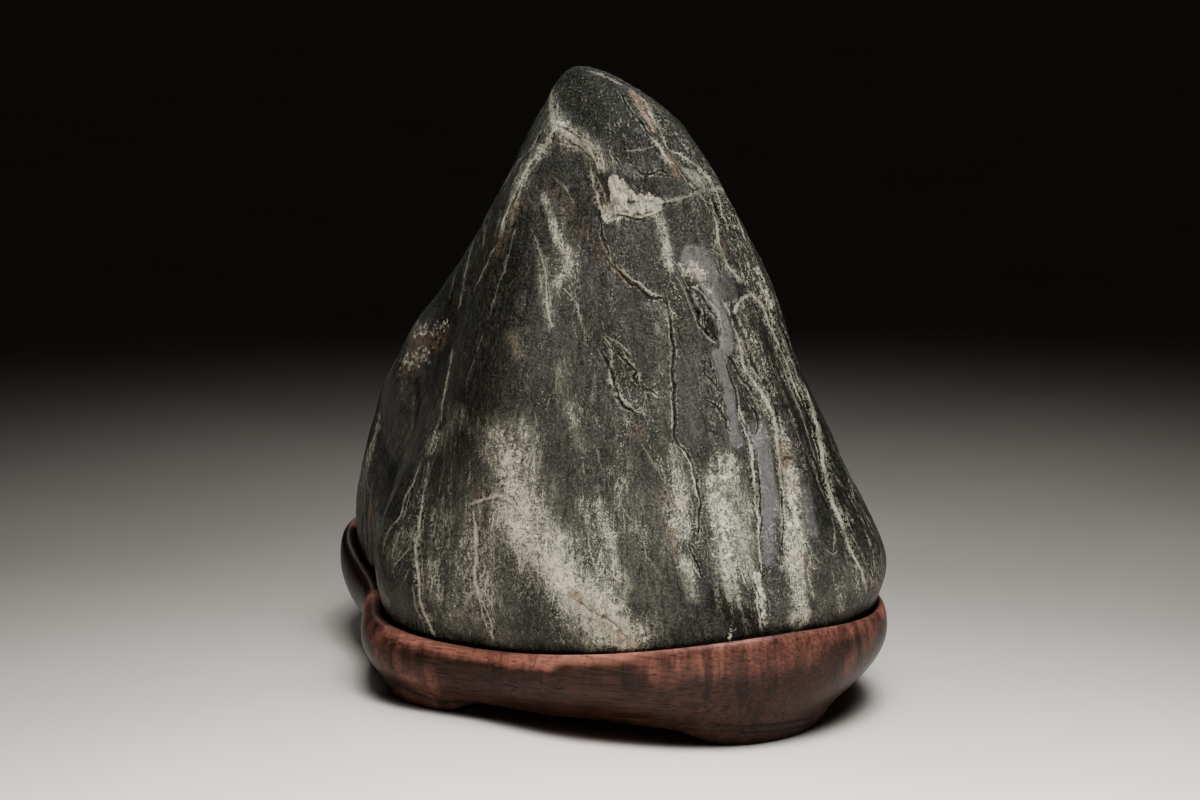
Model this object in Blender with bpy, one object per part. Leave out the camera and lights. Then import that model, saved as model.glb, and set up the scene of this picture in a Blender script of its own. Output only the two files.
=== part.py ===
"""A scholar's rock: a dark mountain-shaped stone resting in its carved wooden stand.

The part has two pieces. The stone is one solid, drawn like a map: closed contours at a few
heights, each a distance from its own centre at twelve bearings. Grooves, ribs and pits are then
pressed into the surface that the contours carry. The stand is one block of wood, hollowed to
the foot of the stone, with a rim that rises and falls and feet cut from the same block.

Lengths are millimetres until the meshes are made, and metres in the scene. +Z is up, +X runs
along the stand, and bearings are degrees from +X, anticlockwise seen from above.
"""

import math
from typing import NamedTuple

import bmesh
import bpy
from mathutils import Vector, noise

MM = 0.001

# Both pieces
COLUMNS = 80
BEARING_STEP = 30.0
DENSE_BEARING = 345.0
DENSE_SHARE = 0.26

# Stone
SUMMIT_HEIGHT = 149.5
SUMMIT_CENTRE = (24, -13.5)
SEAT_HEIGHT = 7.0
SIDE_ROWS = 41
BED = ((0.0, 0.45), (0.0, 0.8), (0.6, 0.94))
LUMP_SIZES = (27.0, 12.0)
LUMP_HEIGHTS = (0.9, 0.4)
SMOOTH_FOOT = 26.0
FOOT_BLEND = 8.0

# Stand
STAND_FLOOR = 2.8
STAND_GAP = 0.45
FOOT_RAMP = 7.0
FOOT_DEPTH = 13.0
FOOT_INSET = 0.8
EDGE_ROUND = 0.7
RIM_ROUND = 0.8
WALL_BASE = 0.9
WALL_SHARES = (0.06, 0.2, 0.4, 0.6, 0.8, 1.0)
RECESS_SHARES = (1.0, 0.72, 0.46, 0.22)


class Contour(NamedTuple):
    """A closed outline of the stone at one height: its centre, and its radii every 30 degrees."""

    height: float
    centre: tuple
    radii: tuple


class Crease(NamedTuple):
    """A groove along a course of (bearing, height) places, or a rib where its depth is negative."""

    half_width: float
    depth: float
    course: tuple


class Side(NamedTuple):
    """The stand's wall at one bearing: its height, its width at the rim, undercut and swell."""

    rim_height: float
    rim_width: float
    undercut: float
    swell: float


class Foot(NamedTuple):
    """One foot of the stand: the bearing of its middle and half its length along the edge."""

    bearing: float
    half_length: float


class Finish(NamedTuple):
    """The plain look of a piece."""

    colour: tuple
    roughness: float


CONTOURS = (
    Contour(7.0, (4, 4), (63, 63, 50, 46, 48, 59, 67, 62, 48, 52, 48, 54)),
    Contour(22.0, (4, 4), (73, 72, 56, 53, 55, 66, 75, 71, 55, 58, 54, 62)),
    Contour(36.0, (4, 4), (73, 75, 59, 54, 57, 68, 77, 71, 55, 59, 56, 61)),
    Contour(56.0, (7, 2), (63, 64, 53, 49, 52, 62, 72, 66, 47, 50, 53, 53)),
    Contour(78.0, (13, -2), (50, 52, 45, 43, 45, 53, 64, 56, 37, 41, 46, 43)),
    Contour(100.0, (19, -6), (38, 43, 37.5, 35, 35, 39, 43, 38, 26, 33, 36, 32)),
    Contour(122.0, (22, -12), (27, 34, 32, 30, 26, 27, 27, 21, 16, 20, 22, 22)),
    Contour(138.0, (24, -13), (18, 21, 21, 20, 18, 17, 14, 11, 9, 10, 12, 13)),
    Contour(145.5, (23, -14), (9, 11.5, 12, 12, 11, 9, 7, 5, 4, 4, 5, 6.5)),
)

CREASES = (
    # The long seam down the right flank, with a rib on either side of it
    Crease(4.5, 1.5, ((26, 141), (23, 134), (27, 125), (28, 112), (24, 97), (24, 70), (22, 54), (21, 36))),
    Crease(4.5, -1.0, ((16, 136), (19, 122), (20, 106), (20, 84), (18, 62), (16, 44))),
    Crease(5.0, -0.9, ((38, 128), (36, 110), (33, 88), (31, 64), (29, 42))),
    # The dark groove, the smooth channel and the fissure nearer the front
    Crease(4.0, 1.6, ((18, 104), (14, 97), (15, 88), (15, 78), (13, 68), (13, 58))),
    Crease(4.5, 1.5, ((7, 108), (5, 100), (8, 90), (8, 77), (5, 66), (1, 50), (0, 36))),
    Crease(4.0, -0.8, ((358, 108), (359, 92), (0, 76), (358, 60))),
    Crease(3.5, 1.1, ((352, 103), (355, 97), (351, 82), (350, 69), (353, 58))),
    Crease(4.0, 1.3, ((329, 91), (335, 83), (342, 77))),
    # The neck under the cap, and the facet broken into the cap's lower edge
    Crease(4.5, 1.2, ((296, 129), (316, 132), (335, 129), (341, 120))),
    Crease(5.0, 1.2, ((346, 121), (0, 120))),
    # The gully between the front buttress and the shoulder
    Crease(12.0, 2.4, ((258, 98), (264, 84), (274, 68), (278, 52), (281, 38))),
    # The far side: gullies, ribs between them, ledges and pits
    Crease(6.0, 1.6, ((74, 118), (70, 98), (67, 76), (62, 54), (60, 38))),
    Crease(9.0, 2.6, ((92, 132), (87, 112), (84, 86), (86, 62), (82, 42))),
    Crease(7.0, -1.6, ((106, 126), (104, 100), (103, 76), (101, 52))),
    Crease(9.0, 2.8, ((128, 124), (134, 104), (138, 80), (136, 58), (140, 40))),
    Crease(6.0, 1.6, ((166, 92), (164, 74), (169, 56), (168, 38))),
    Crease(8.0, -1.6, ((182, 86), (184, 66), (187, 46))),
    Crease(7.0, 2.0, ((206, 80), (203, 62), (209, 44))),
    Crease(5.0, -1.2, ((222, 84), (224, 64), (228, 44))),
    Crease(5.0, 1.8, ((108, 72), (122, 66), (138, 69))),
    Crease(4.5, 1.6, ((68, 66), (78, 60), (88, 63))),
    Crease(5.0, 1.8, ((176, 62), (190, 56), (202, 58))),
    Crease(6.5, 2.2, ((116, 92), (121, 90))),
    Crease(5.5, 1.9, ((152, 48), (157, 47))),
    Crease(5.0, 1.7, ((80, 90), (84, 88))),
    Crease(5.0, 1.6, ((233, 60), (237, 57))),
)

SIDES = (
    Side(26.5, 2.8, 4, 6),
    Side(24.5, 2.4, 11, 7),
    Side(24.5, 2.4, 12, 7),
    Side(25.0, 2.6, 11, 5),
    Side(23.0, 2.6, 10, 5),
    Side(24.0, 2.6, 10, 5),
    Side(27.0, 2.8, 11, 5),
    Side(27.0, 4.2, 11, 5),
    Side(20.5, 4.0, 7, 7),
    Side(18.5, 4.2, 3, 9),
    Side(17.5, 2.8, 3, 5),
    Side(21.5, 2.8, 8, 5),
)

FEET = (Foot(3, 13), Foot(92, 13), Foot(150, 12), Foot(212, 13), Foot(279, 8))

STONE_FINISH = Finish((0.055, 0.06, 0.056), 0.42)
WOOD_FINISH = Finish((0.16, 0.05, 0.03), 0.38)


def along(knots, values, place):
    """The value at a place on the smooth curve through the knots, held at the end values."""
    if place <= knots[0]:
        return values[0]
    if place >= knots[-1]:
        return values[-1]
    right = next(i for i, knot in enumerate(knots) if knot > place)
    left = right - 1
    span = knots[right] - knots[left]
    share = (place - knots[left]) / span

    def slope(i):
        before, after = max(i - 1, 0), min(i + 1, len(knots) - 1)
        return (values[after] - values[before]) / (knots[after] - knots[before])

    straight = values[left] + (values[right] - values[left]) * share * share * (3 - 2 * share)
    bend = share * (1 - share) * ((1 - share) * slope(left) - share * slope(right))
    return straight + span * bend


def around(values, bearing):
    """The value at a bearing on the smooth closed curve through values set every 30 degrees."""
    place = (bearing % 360) / BEARING_STEP
    left = int(place)
    share = place - left
    a, b, c, d = (values[(left + i) % len(values)] for i in (-1, 0, 1, 2))
    cubic = 3 * (b - c) + d - a
    square = 2 * a - 5 * b + 4 * c - d
    return b + 0.5 * share * (c - a + share * (square + share * cubic))


def smooth_step(value):
    """0 to 1 with a level start and end, for a value from 0 to 1."""
    value = max(0.0, min(1.0, value))
    return value * value * (3 - 2 * value)


def column_bearing(column):
    """The bearing of a column of points: they stand closer together on the more detailed side."""
    bearing = 360 * column / COLUMNS
    off = math.radians(bearing - DENSE_BEARING)
    return bearing - math.degrees(DENSE_SHARE * math.sin(off))


BEARINGS = [column_bearing(column) for column in range(COLUMNS)]


def depth_share(height):
    """How far below the summit a height is, from 0 to 1, drawn so that a dome is a straight line."""
    return math.sqrt(max(0.0, SUMMIT_HEIGHT - height) / SUMMIT_HEIGHT)


CONTOUR_SHARES = [0.0] + [depth_share(contour.height) for contour in reversed(CONTOURS)]
CONTOUR_CENTRES = [SUMMIT_CENTRE] + [contour.centre for contour in reversed(CONTOURS)]


def stone_centre(height):
    """The middle of the stone's outline at a height."""
    share = depth_share(height)
    return [along(CONTOUR_SHARES, values, share) for values in zip(*CONTOUR_CENTRES)]


def stone_radius(bearing, height):
    """The distance from the middle of the outline to the stone's plain surface."""
    radii = [0.0] + [around(contour.radii, bearing) for contour in reversed(CONTOURS)]
    return along(CONTOUR_SHARES, radii, depth_share(height))


def stone_point(bearing, height, scale=1.0):
    """A point of the stone's plain surface, or nearer the axis by a scale."""
    x, y = stone_centre(height)
    radius = stone_radius(bearing, height) * scale
    turn = math.radians(bearing)
    return Vector((x + radius * math.cos(turn), y + radius * math.sin(turn), height))


def side_heights():
    """The heights of the stone's rings, an even step apart as measured up its average side."""
    steps = 400
    drop = SUMMIT_HEIGHT - SEAT_HEIGHT
    heights = [SUMMIT_HEIGHT - drop * (i / steps) ** 2 for i in range(steps, -1, -1)]
    means = [sum(stone_radius(bearing, height) for bearing in range(0, 360, 30)) / 12 for height in heights]
    lengths = [0.0]
    for i in range(steps):
        step = math.hypot(heights[i + 1] - heights[i], means[i + 1] - means[i])
        lengths.append(lengths[-1] + step)
    goals = [lengths[-1] * (row + 0.7) / (SIDE_ROWS + 0.7) for row in range(SIDE_ROWS)]
    return [along(lengths, heights, goal) for goal in goals]


def crease_line(crease):
    """The points of a crease's course on the plain surface, close enough together to follow it."""
    points = []
    for (bearing, height), (next_bearing, next_height) in zip(crease.course, crease.course[1:]):
        turn = (next_bearing - bearing + 180) % 360 - 180
        for step in range(4):
            share = step / 4
            points.append(stone_point(bearing + turn * share, height + (next_height - height) * share))
    points.append(stone_point(*crease.course[-1]))
    return points


CREASE_LINES = [crease_line(crease) for crease in CREASES]


def distance_to_line(point, line):
    """The distance from a point to the nearest stretch of a line of points."""
    nearest = math.inf
    for start, end in zip(line, line[1:]):
        run = end - start
        share = max(0.0, min(1.0, (point - start).dot(run) / run.length_squared))
        nearest = min(nearest, (point - start - run * share).length)
    return nearest


def relief(point):
    """How far the stone's surface stands out from the plain form at a point; grooves are negative."""
    rise = 0.0
    for crease, line in zip(CREASES, CREASE_LINES):
        away = distance_to_line(point, line) / crease.half_width
        rise -= crease.depth * smooth_step(1 - away)
    for size, height in zip(LUMP_SIZES, LUMP_HEIGHTS):
        rise += height * noise.noise(point / size)
    clear = smooth_step((point.z - SMOOTH_FOOT) / FOOT_BLEND)
    return rise * clear


def surface_normal(bearing, height):
    """The direction straight out of the stone's plain surface."""
    across = stone_point(bearing + 1, height) - stone_point(bearing - 1, height)
    up = stone_point(bearing, height + 0.3) - stone_point(bearing, height - 0.3)
    return across.cross(up).normalized()


def side_point(bearing, height):
    """A point of the stone's finished side."""
    point = stone_point(bearing, height)
    return point + surface_normal(bearing, height) * relief(point)


def wrapped_sphere(name, rings, bottom, top):
    """A sphere primitive whose rings of latitude are moved onto the given rings of points."""
    mesh = bpy.data.meshes.new(name)
    form = bmesh.new()
    bmesh.ops.create_uvsphere(form, u_segments=COLUMNS, v_segments=len(rings) + 1, radius=1)
    for vert in form.verts:
        latitude = math.acos(max(-1.0, min(1.0, -vert.co.z))) / math.pi
        row = round(latitude * (len(rings) + 1)) - 1
        column = round(math.degrees(math.atan2(vert.co.y, vert.co.x)) / 360 * COLUMNS) % COLUMNS
        if row < 0:
            place = bottom
        elif row == len(rings):
            place = top
        else:
            place = rings[row][column]
        vert.co = Vector(place) * MM
    form.normal_update()
    form.to_mesh(mesh)
    form.free()
    return bpy.data.objects.new(name, mesh)


def build_stone():
    """The stone, from its flat bed up to the summit."""
    rings = []
    for lift, scale in BED:
        rings.append([stone_point(bearing, SEAT_HEIGHT + lift, scale) for bearing in BEARINGS])
    for height in side_heights():
        rings.append([side_point(bearing, height) for bearing in BEARINGS])
    bed = (*stone_centre(SEAT_HEIGHT), SEAT_HEIGHT)
    summit = (*SUMMIT_CENTRE, SUMMIT_HEIGHT)
    return wrapped_sphere("stone", rings, bed, summit)


def foot_share(bearing):
    """1 where a foot stands, 0 between the feet, with a ramp at each end of a foot."""
    most = 0.0
    for foot in FEET:
        off = abs((bearing - foot.bearing + 180) % 360 - 180)
        reach = math.radians(off) * stone_radius(foot.bearing, STAND_FLOOR)
        most = max(most, smooth_step((foot.half_length + FOOT_RAMP - reach) / FOOT_RAMP))
    return most


def stand_profile(bearing):
    """(radius, height) pairs round the stand's section: under it, up the wall, over the rim, inside."""
    rim, width, undercut, swell = (around(values, bearing) for values in zip(*SIDES))
    under = STAND_FLOOR * (1 - foot_share(bearing))
    seat = stone_radius(bearing, SEAT_HEIGHT)
    edge = stone_radius(bearing, rim) + width
    wall_foot = STAND_FLOOR + WALL_BASE
    recess = SEAT_HEIGHT - STAND_GAP
    rim_side = rim - RIM_ROUND

    def wall(share):
        """The outer wall's radius at a share of the way up it."""
        return edge - undercut * (1 - share) ** 2.4 + swell * share * (1 - share)

    def inside(height):
        """The recess wall's radius at a height."""
        return stone_radius(bearing, height) + STAND_GAP

    foot_edge = wall(0) - FOOT_INSET
    profile = [
        (0.5 * seat, STAND_FLOOR),
        (foot_edge - FOOT_DEPTH - STAND_FLOOR, STAND_FLOOR),
        (foot_edge - FOOT_DEPTH, under),
        (foot_edge, under),
        (foot_edge + EDGE_ROUND, under + EDGE_ROUND),
    ]
    for share in WALL_SHARES:
        profile.append((wall(share), wall_foot + (rim_side - wall_foot) * share))
    profile.append((0.5 * (wall(1) + inside(rim_side)), rim))
    for share in RECESS_SHARES:
        height = recess + (rim_side - recess) * share
        profile.append((inside(height), height))
    profile.append((seat - STAND_GAP, recess))
    profile.append((0.5 * seat, recess))
    return profile


def build_stand():
    """The stand, with the recess that holds the stone's foot."""
    x, y = stone_centre(SEAT_HEIGHT)
    profiles = [stand_profile(bearing) for bearing in BEARINGS]
    rings = []
    for row in range(len(profiles[0])):
        ring = []
        for bearing, profile in zip(BEARINGS, profiles):
            radius, height = profile[row]
            turn = math.radians(bearing)
            ring.append((x + radius * math.cos(turn), y + radius * math.sin(turn), height))
        rings.append(ring)
    return wrapped_sphere("stand", rings, (x, y, STAND_FLOOR), (x, y, SEAT_HEIGHT - STAND_GAP))


def centre_over_origin(pieces):
    """Slides the pieces together so that the box round them stands centred on the origin."""
    points = [vert.co for piece in pieces for vert in piece.data.vertices]
    for axis in (0, 1):
        values = [point[axis] for point in points]
        middle = 0.5 * (min(values) + max(values))
        for point in points:
            point[axis] -= middle


def apply_finish(piece, finish):
    """Gives a piece its own material."""
    material = bpy.data.materials.new(piece.name)
    material.use_nodes = True
    shader = material.node_tree.nodes["Principled BSDF"]
    shader.inputs["Base Color"].default_value = (*finish.colour, 1)
    shader.inputs["Roughness"].default_value = finish.roughness
    shader.inputs["Metallic"].default_value = 0.0
    piece.data.materials.append(material)


def main():
    for old in list(bpy.data.objects):
        bpy.data.objects.remove(old)
    collection = bpy.data.collections.new("scholars_rock")
    bpy.context.scene.collection.children.link(collection)
    stone = build_stone()
    stand = build_stand()
    centre_over_origin((stone, stand))
    apply_finish(stone, STONE_FINISH)
    apply_finish(stand, WOOD_FINISH)
    for piece in (stone, stand):
        piece.data.shade_smooth()
        collection.objects.link(piece)


main()
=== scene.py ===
"""A dark viewing stone seated in its carved wooden stand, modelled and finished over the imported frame."""

import logging
import math
import random
from dataclasses import dataclass, field
from enum import Enum

import bpy
import numpy as np
from mathutils import Matrix, Vector, noise
from mathutils.bvhtree import BVHTree


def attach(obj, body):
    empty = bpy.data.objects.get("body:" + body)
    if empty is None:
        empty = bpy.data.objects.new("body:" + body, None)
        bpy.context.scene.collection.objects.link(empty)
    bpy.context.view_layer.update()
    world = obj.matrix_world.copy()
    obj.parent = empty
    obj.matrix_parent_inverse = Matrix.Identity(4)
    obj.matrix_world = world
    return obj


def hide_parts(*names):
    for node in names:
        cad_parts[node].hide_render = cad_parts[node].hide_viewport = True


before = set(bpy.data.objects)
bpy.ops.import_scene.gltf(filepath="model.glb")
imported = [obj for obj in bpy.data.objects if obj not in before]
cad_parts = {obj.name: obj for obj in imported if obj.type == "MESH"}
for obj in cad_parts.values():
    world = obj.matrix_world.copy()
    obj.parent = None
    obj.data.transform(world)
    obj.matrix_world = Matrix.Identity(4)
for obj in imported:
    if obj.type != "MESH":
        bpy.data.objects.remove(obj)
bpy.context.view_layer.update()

LOG = logging.getLogger("viewing_stone")
MM = 0.001
VIEW_WIDTH, VIEW_HEIGHT = 1200, 800
COURSE_STEP = 2.0
Course = tuple[tuple[float, float], ...]
Span = tuple[float, float]
Place = tuple[float, float, float]
Colour = tuple[float, float, float]


class Tone(Enum):
    """Minerals that a line in the stone may be made of; the value picks its colour in the finish."""

    GREY = 0.0
    CREAM = 0.25
    GREEN = 0.5
    PINK = 0.75


class Ground(Enum):
    """Kinds of ground on the stone; the value is the attribute that carries its cover."""

    PALE = "pale_cover"
    CREAM = "cream_cover"
    RUST = "rust_cover"
    SMOOTH = "smooth_cover"
    ROUGH = "rough_cover"
    # dark ground, and painted shade: on the shadowed left flank, in hollows, on the summit's cap and where the
    # stone enters the stand
    DARK = "dark_cover"


@dataclass(frozen=True)
class Vein:
    """A thin line of pale mineral. Its course is in view positions, and its width in millimetres."""

    tone: Tone
    width: float
    course: Course
    strength: float = 1.0


@dataclass(frozen=True)
class Crack:
    """A crack, painted dark as the shadow inside it: width and depth in millimetres, and the lip by which its
    right-hand side stands up.
    """

    width: float
    depth: float
    course: Course
    lip: float = 0.0


@dataclass(frozen=True)
class Patch:
    """A stretch of one ground along a course: half width in millimetres, cover, and how soft its edge is."""

    ground: Ground
    half_width: float
    cover: float
    course: Course
    softness: float = 0.8


@dataclass(frozen=True)
class Swell:
    """A broad ridge along a course, or a hollow where its height is negative, in millimetres."""

    half_width: float
    height: float
    course: Course


@dataclass(frozen=True)
class Incision:
    """A line cut in the stand: its width and depth in millimetres."""

    width: float
    depth: float
    course: Course


@dataclass(frozen=True)
class WearAndLightPatch:
    """A stretch of the stand: its half width in millimetres, and its tone, from -1 for painted shade to 1 for bare
    worn wood.
    """

    half_width: float
    wear_and_painted_light: float
    course: Course


Line = tuple[Vein | Crack, np.ndarray]

VEINS = (
    # the summit
    # a painted highlight along the summit's top edge, drawn as a cream vein
    Vein(Tone.CREAM, 0.9, ((588, 70), (604, 76), (615, 81), (628, 88), (638, 93))),
    Vein(Tone.PINK, 3.0, ((630, 88), (636, 95), (641, 103), (647, 117), (655, 134))),
    Vein(Tone.CREAM, 0.7, ((643, 97), (654, 118), (664, 138), (669, 148), (696, 165), (712, 185), (719, 202),
                           (727, 223))),
    Vein(Tone.CREAM, 1.3, ((650, 134), (658, 146), (667, 158), (678, 167))),
    Vein(Tone.GREEN, 3.0, ((679, 165), (688, 172), (696, 179), (704, 190), (710, 199))),
    Vein(Tone.CREAM, 0.4, ((678, 170), (690, 184), (703, 199), (716, 206))),
    Vein(Tone.GREY, 0.4, ((615, 87), (620, 95), (628, 104)), 0.7),
    Vein(Tone.GREY, 1.3, ((551, 92), (551, 103), (552, 114), (558, 127)), 0.8),
    Vein(Tone.GREY, 0.5, ((557, 96), (557, 108), (560, 122)), 0.7),
    Vein(Tone.CREAM, 1.1, ((559, 128), (568, 135), (578, 141), (588, 148), (594, 157), (597, 166))),
    Vein(Tone.CREAM, 0.5, ((566, 126), (578, 134), (590, 142), (598, 152)), 0.8),
    Vein(Tone.CREAM, 0.6, ((588, 160), (594, 185), (600, 202), (603, 219))),
    Vein(Tone.CREAM, 0.5, ((594, 172), (601, 186), (606, 199), (607, 214)), 0.8),
    Vein(Tone.CREAM, 0.5, ((555, 142), (566, 146), (577, 147), (586, 155)), 0.8),
    Vein(Tone.GREY, 0.4, ((623, 151), (636, 150), (648, 148), (657, 145)), 0.8),
    Vein(Tone.CREAM, 0.6, ((606, 217), (620, 214), (640, 217), (655, 213), (664, 206)), 0.9),
    Vein(Tone.GREY, 0.4, ((553, 177), (567, 190), (576, 207)), 0.5),
    # the left ridge
    Vein(Tone.CREAM, 0.9, ((559, 127), (552, 137), (544, 148), (531, 165), (523, 178), (517, 191))),
    Vein(Tone.CREAM, 1.0, ((517, 191), (512, 202), (507, 213), (502, 228), (500, 240))),
    Vein(Tone.GREY, 0.8, ((549, 112), (541, 130), (531, 148), (520, 160), (514, 168), (500, 191)), 0.8),
    Vein(Tone.GREY, 0.5, ((500, 240), (490, 256), (480, 278), (471, 298))),
    Vein(Tone.GREY, 0.6, ((528, 150), (516, 178), (507, 196)), 0.8),
    Vein(Tone.GREY, 0.45, ((517, 222), (506, 264), (497, 292), (489, 318)), 0.6),
    Vein(Tone.GREY, 0.8, ((489, 205), (481, 222), (474, 238), (467, 262), (462, 292), (457, 312))),
    Vein(Tone.GREY, 0.5, ((458, 265), (452, 284), (449, 302)), 0.7),
    Vein(Tone.GREY, 0.4, ((484, 328), (477, 350), (470, 372), (467, 395)), 0.4),
    # the left edge, down to the stand
    Vein(Tone.CREAM, 0.9, ((453, 346), (447, 380), (442, 410), (441, 424))),
    Vein(Tone.GREY, 0.5, ((452, 395), (446, 420), (440, 440), (435, 457), (430, 470)), 0.8),
    Vein(Tone.CREAM, 0.85, ((429, 458), (427, 478), (423, 500), (418, 532), (415, 550), (417, 570), (420, 600),
                            (428, 622), (438, 639))),
    Vein(Tone.GREY, 0.4, ((421, 552), (422, 575), (423, 592)), 0.8),
    Vein(Tone.GREY, 0.45, ((413, 580), (415, 602), (422, 622), (429, 636)), 0.9),
    Vein(Tone.GREY, 0.5, ((421, 458), (413, 483), (404, 500), (399, 518), (388, 532), (382, 558))),
    Vein(Tone.GREY, 0.4, ((411, 490), (405, 510), (400, 527)), 0.8),
    Vein(Tone.GREY, 0.4, ((412, 545), (402, 557), (393, 567)), 0.7),
    Vein(Tone.GREY, 0.4, ((410, 566), (402, 584)), 0.8),
    Vein(Tone.GREY, 0.4, ((392, 567), (395, 581)), 0.7),
    Vein(Tone.CREAM, 0.7, ((373, 476), (370, 500), (369, 540), (372, 580)), 0.5),
    # the second line and the arch that crosses it
    Vein(Tone.CREAM, 0.80, ((472, 506), (476, 540), (475, 575), (481, 605), (487, 630))),
    Vein(Tone.CREAM, 0.6, ((480, 594), (486, 610), (491, 624), (493, 644))),
    Vein(Tone.CREAM, 0.75, ((466, 506), (482, 500), (496, 496), (510, 500), (523, 515))),
    Vein(Tone.GREY, 0.35, ((480, 529), (486, 535), (491, 545)), 0.7),
    Vein(Tone.GREY, 0.35, ((497, 586), (499, 598), (503, 612)), 0.5),
    Vein(Tone.GREY, 0.4, ((456, 452), (452, 482)), 0.4),
    # the front face
    Vein(Tone.GREY, 0.4, ((530, 225), (538, 245), (544, 266), (547, 306)), 0.7),
    Vein(Tone.CREAM, 0.6, ((546, 288), (547, 306), (551, 323), (559, 329)), 0.9),
    Vein(Tone.GREY, 0.5, ((561, 286), (570, 296), (578, 306), (581, 320), (584, 333)), 0.9),
    Vein(Tone.GREY, 0.35, ((535, 410), (536, 425), (533, 445), (534, 478), (534, 500)), 0.6),
    Vein(Tone.GREY, 0.35, ((543, 446), (538, 470), (535, 484)), 0.6),
    Vein(Tone.GREY, 0.35, ((552, 390), (546, 412)), 0.5),
    Vein(Tone.GREY, 0.4, ((575, 398), (581, 412), (588, 424)), 0.6),
    Vein(Tone.GREY, 0.35, ((592, 440), (600, 460), (606, 478)), 0.5),
    Vein(Tone.GREY, 0.35, ((640, 440), (650, 458), (666, 484)), 0.5),
    Vein(Tone.GREY, 0.35, ((645, 442), (630, 468), (621, 490), (616, 502)), 0.3),
    Vein(Tone.GREY, 0.4, ((616, 494), (627, 515), (643, 540), (650, 560), (665, 582)), 0.5),
    Vein(Tone.CREAM, 0.5, ((608, 570), (617, 580), (628, 582)), 0.8),
    Vein(Tone.CREAM, 0.5, ((671, 541), (677, 551)), 0.9),
    Vein(Tone.GREY, 0.6, ((689, 560), (697, 573), (705, 581)), 0.8),
    Vein(Tone.CREAM, 1.0, ((634, 411), (646, 411))),
    Vein(Tone.CREAM, 0.5, ((600, 332), (612, 352), (610, 374), (618, 390), (626, 402), (640, 414)), 0.9),
    Vein(Tone.CREAM, 0.45, ((622, 350), (636, 371), (640, 385), (652, 394), (664, 398)), 0.8),
    Vein(Tone.GREY, 0.5, ((602, 332), (620, 344), (632, 356)), 0.8),
    Vein(Tone.CREAM, 0.45, ((606, 254), (620, 270), (637, 282), (652, 292), (664, 297)), 0.8),
    Vein(Tone.CREAM, 0.4, ((684, 284), (688, 300), (697, 316), (706, 334), (718, 345)), 0.9),
    Vein(Tone.CREAM, 0.4, ((692, 284), (704, 296), (715, 307), (722, 328), (720, 343)), 0.9),
    Vein(Tone.GREY, 0.4, ((732, 352), (740, 366), (747, 380), (756, 392)), 0.9),
    Vein(Tone.PINK, 0.7, ((613, 266), (620, 276), (629, 287)), 0.8),
    # the middle fissure's pale edge
    Vein(Tone.CREAM, 0.45, ((677, 443), (688, 460), (695, 482), (699, 504))),
    Vein(Tone.GREY, 0.35, ((684, 446), (692, 462), (697, 478)), 0.7),
    Vein(Tone.GREY, 0.4, ((669, 300), (668, 330), (670, 352), (671, 392), (673, 440)), 0.5),
    # the right shoulder
    Vein(Tone.CREAM, 1.3, ((711, 206), (717, 225), (720, 245), (726, 259), (736, 272), (746, 282))),
    Vein(Tone.GREY, 0.4, ((718, 222), (728, 225), (736, 223)), 0.8),
    Vein(Tone.GREY, 0.45, ((735, 224), (748, 245), (756, 260), (763, 276)), 0.7),
    Vein(Tone.GREY, 0.4, ((688, 300), (698, 320), (711, 342)), 0.9),
    Vein(Tone.CREAM, 0.5, ((720, 298), (727, 309), (733, 318)), 0.9),
    Vein(Tone.CREAM, 0.8, ((733, 319), (738, 307), (745, 300), (752, 296), (762, 304), (768, 321), (775, 338),
                           (789, 368), (802, 402))),
    Vein(Tone.CREAM, 0.8, ((735, 324), (741, 351), (748, 375), (764, 398), (774, 422), (778, 449), (781, 482),
                           (785, 500))),
    Vein(Tone.GREY, 0.5, ((765, 384), (775, 408), (783, 435), (788, 447)), 0.8),
    Vein(Tone.CREAM, 0.6, ((741, 400), (745, 425), (749, 441), (752, 456), (753, 476), (755, 496), (758, 526),
                           (761, 574))),
    Vein(Tone.GREY, 0.4, ((652, 266), (664, 258), (676, 264), (684, 277)), 0.6),
    # the right flank
    Vein(Tone.GREY, 0.5, ((770, 338), (780, 358), (789, 382), (798, 408), (806, 434), (817, 464)), 0.8),
    Vein(Tone.GREY, 0.45, ((777, 330), (788, 358), (799, 384), (812, 412), (826, 440)), 0.7),
    Vein(Tone.GREY, 0.6, ((758, 276), (768, 303), (782, 336), (796, 370), (810, 404))),
    Vein(Tone.CREAM, 1.1, ((803, 380), (815, 420), (821, 450), (829, 488), (839, 516), (850, 546), (861, 574),
                           (868, 594))),
    Vein(Tone.GREY, 0.5, ((832, 514), (835, 534), (833, 554)), 0.9),
    Vein(Tone.GREY, 0.45, ((825, 547), (833, 554), (839, 549)), 0.7),
    Vein(Tone.GREY, 0.4, ((831, 562), (834, 586)), 0.9),
    Vein(Tone.GREY, 0.4, ((835, 559), (842, 577)), 0.8),
    Vein(Tone.CREAM, 0.5, ((808, 566), (811, 585), (816, 601)), 0.9),
    Vein(Tone.GREY, 0.35, ((768, 580), (783, 579)), 0.8),
    Vein(Tone.CREAM, 0.5, ((751, 578), (757, 600), (763, 634)), 0.9),
    Vein(Tone.GREY, 0.35, ((839, 450), (852, 490), (862, 522)), 0.7),
    Vein(Tone.CREAM, 0.45, ((720, 540), (721, 560), (729, 576), (733, 590)), 0.6),
)

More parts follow.
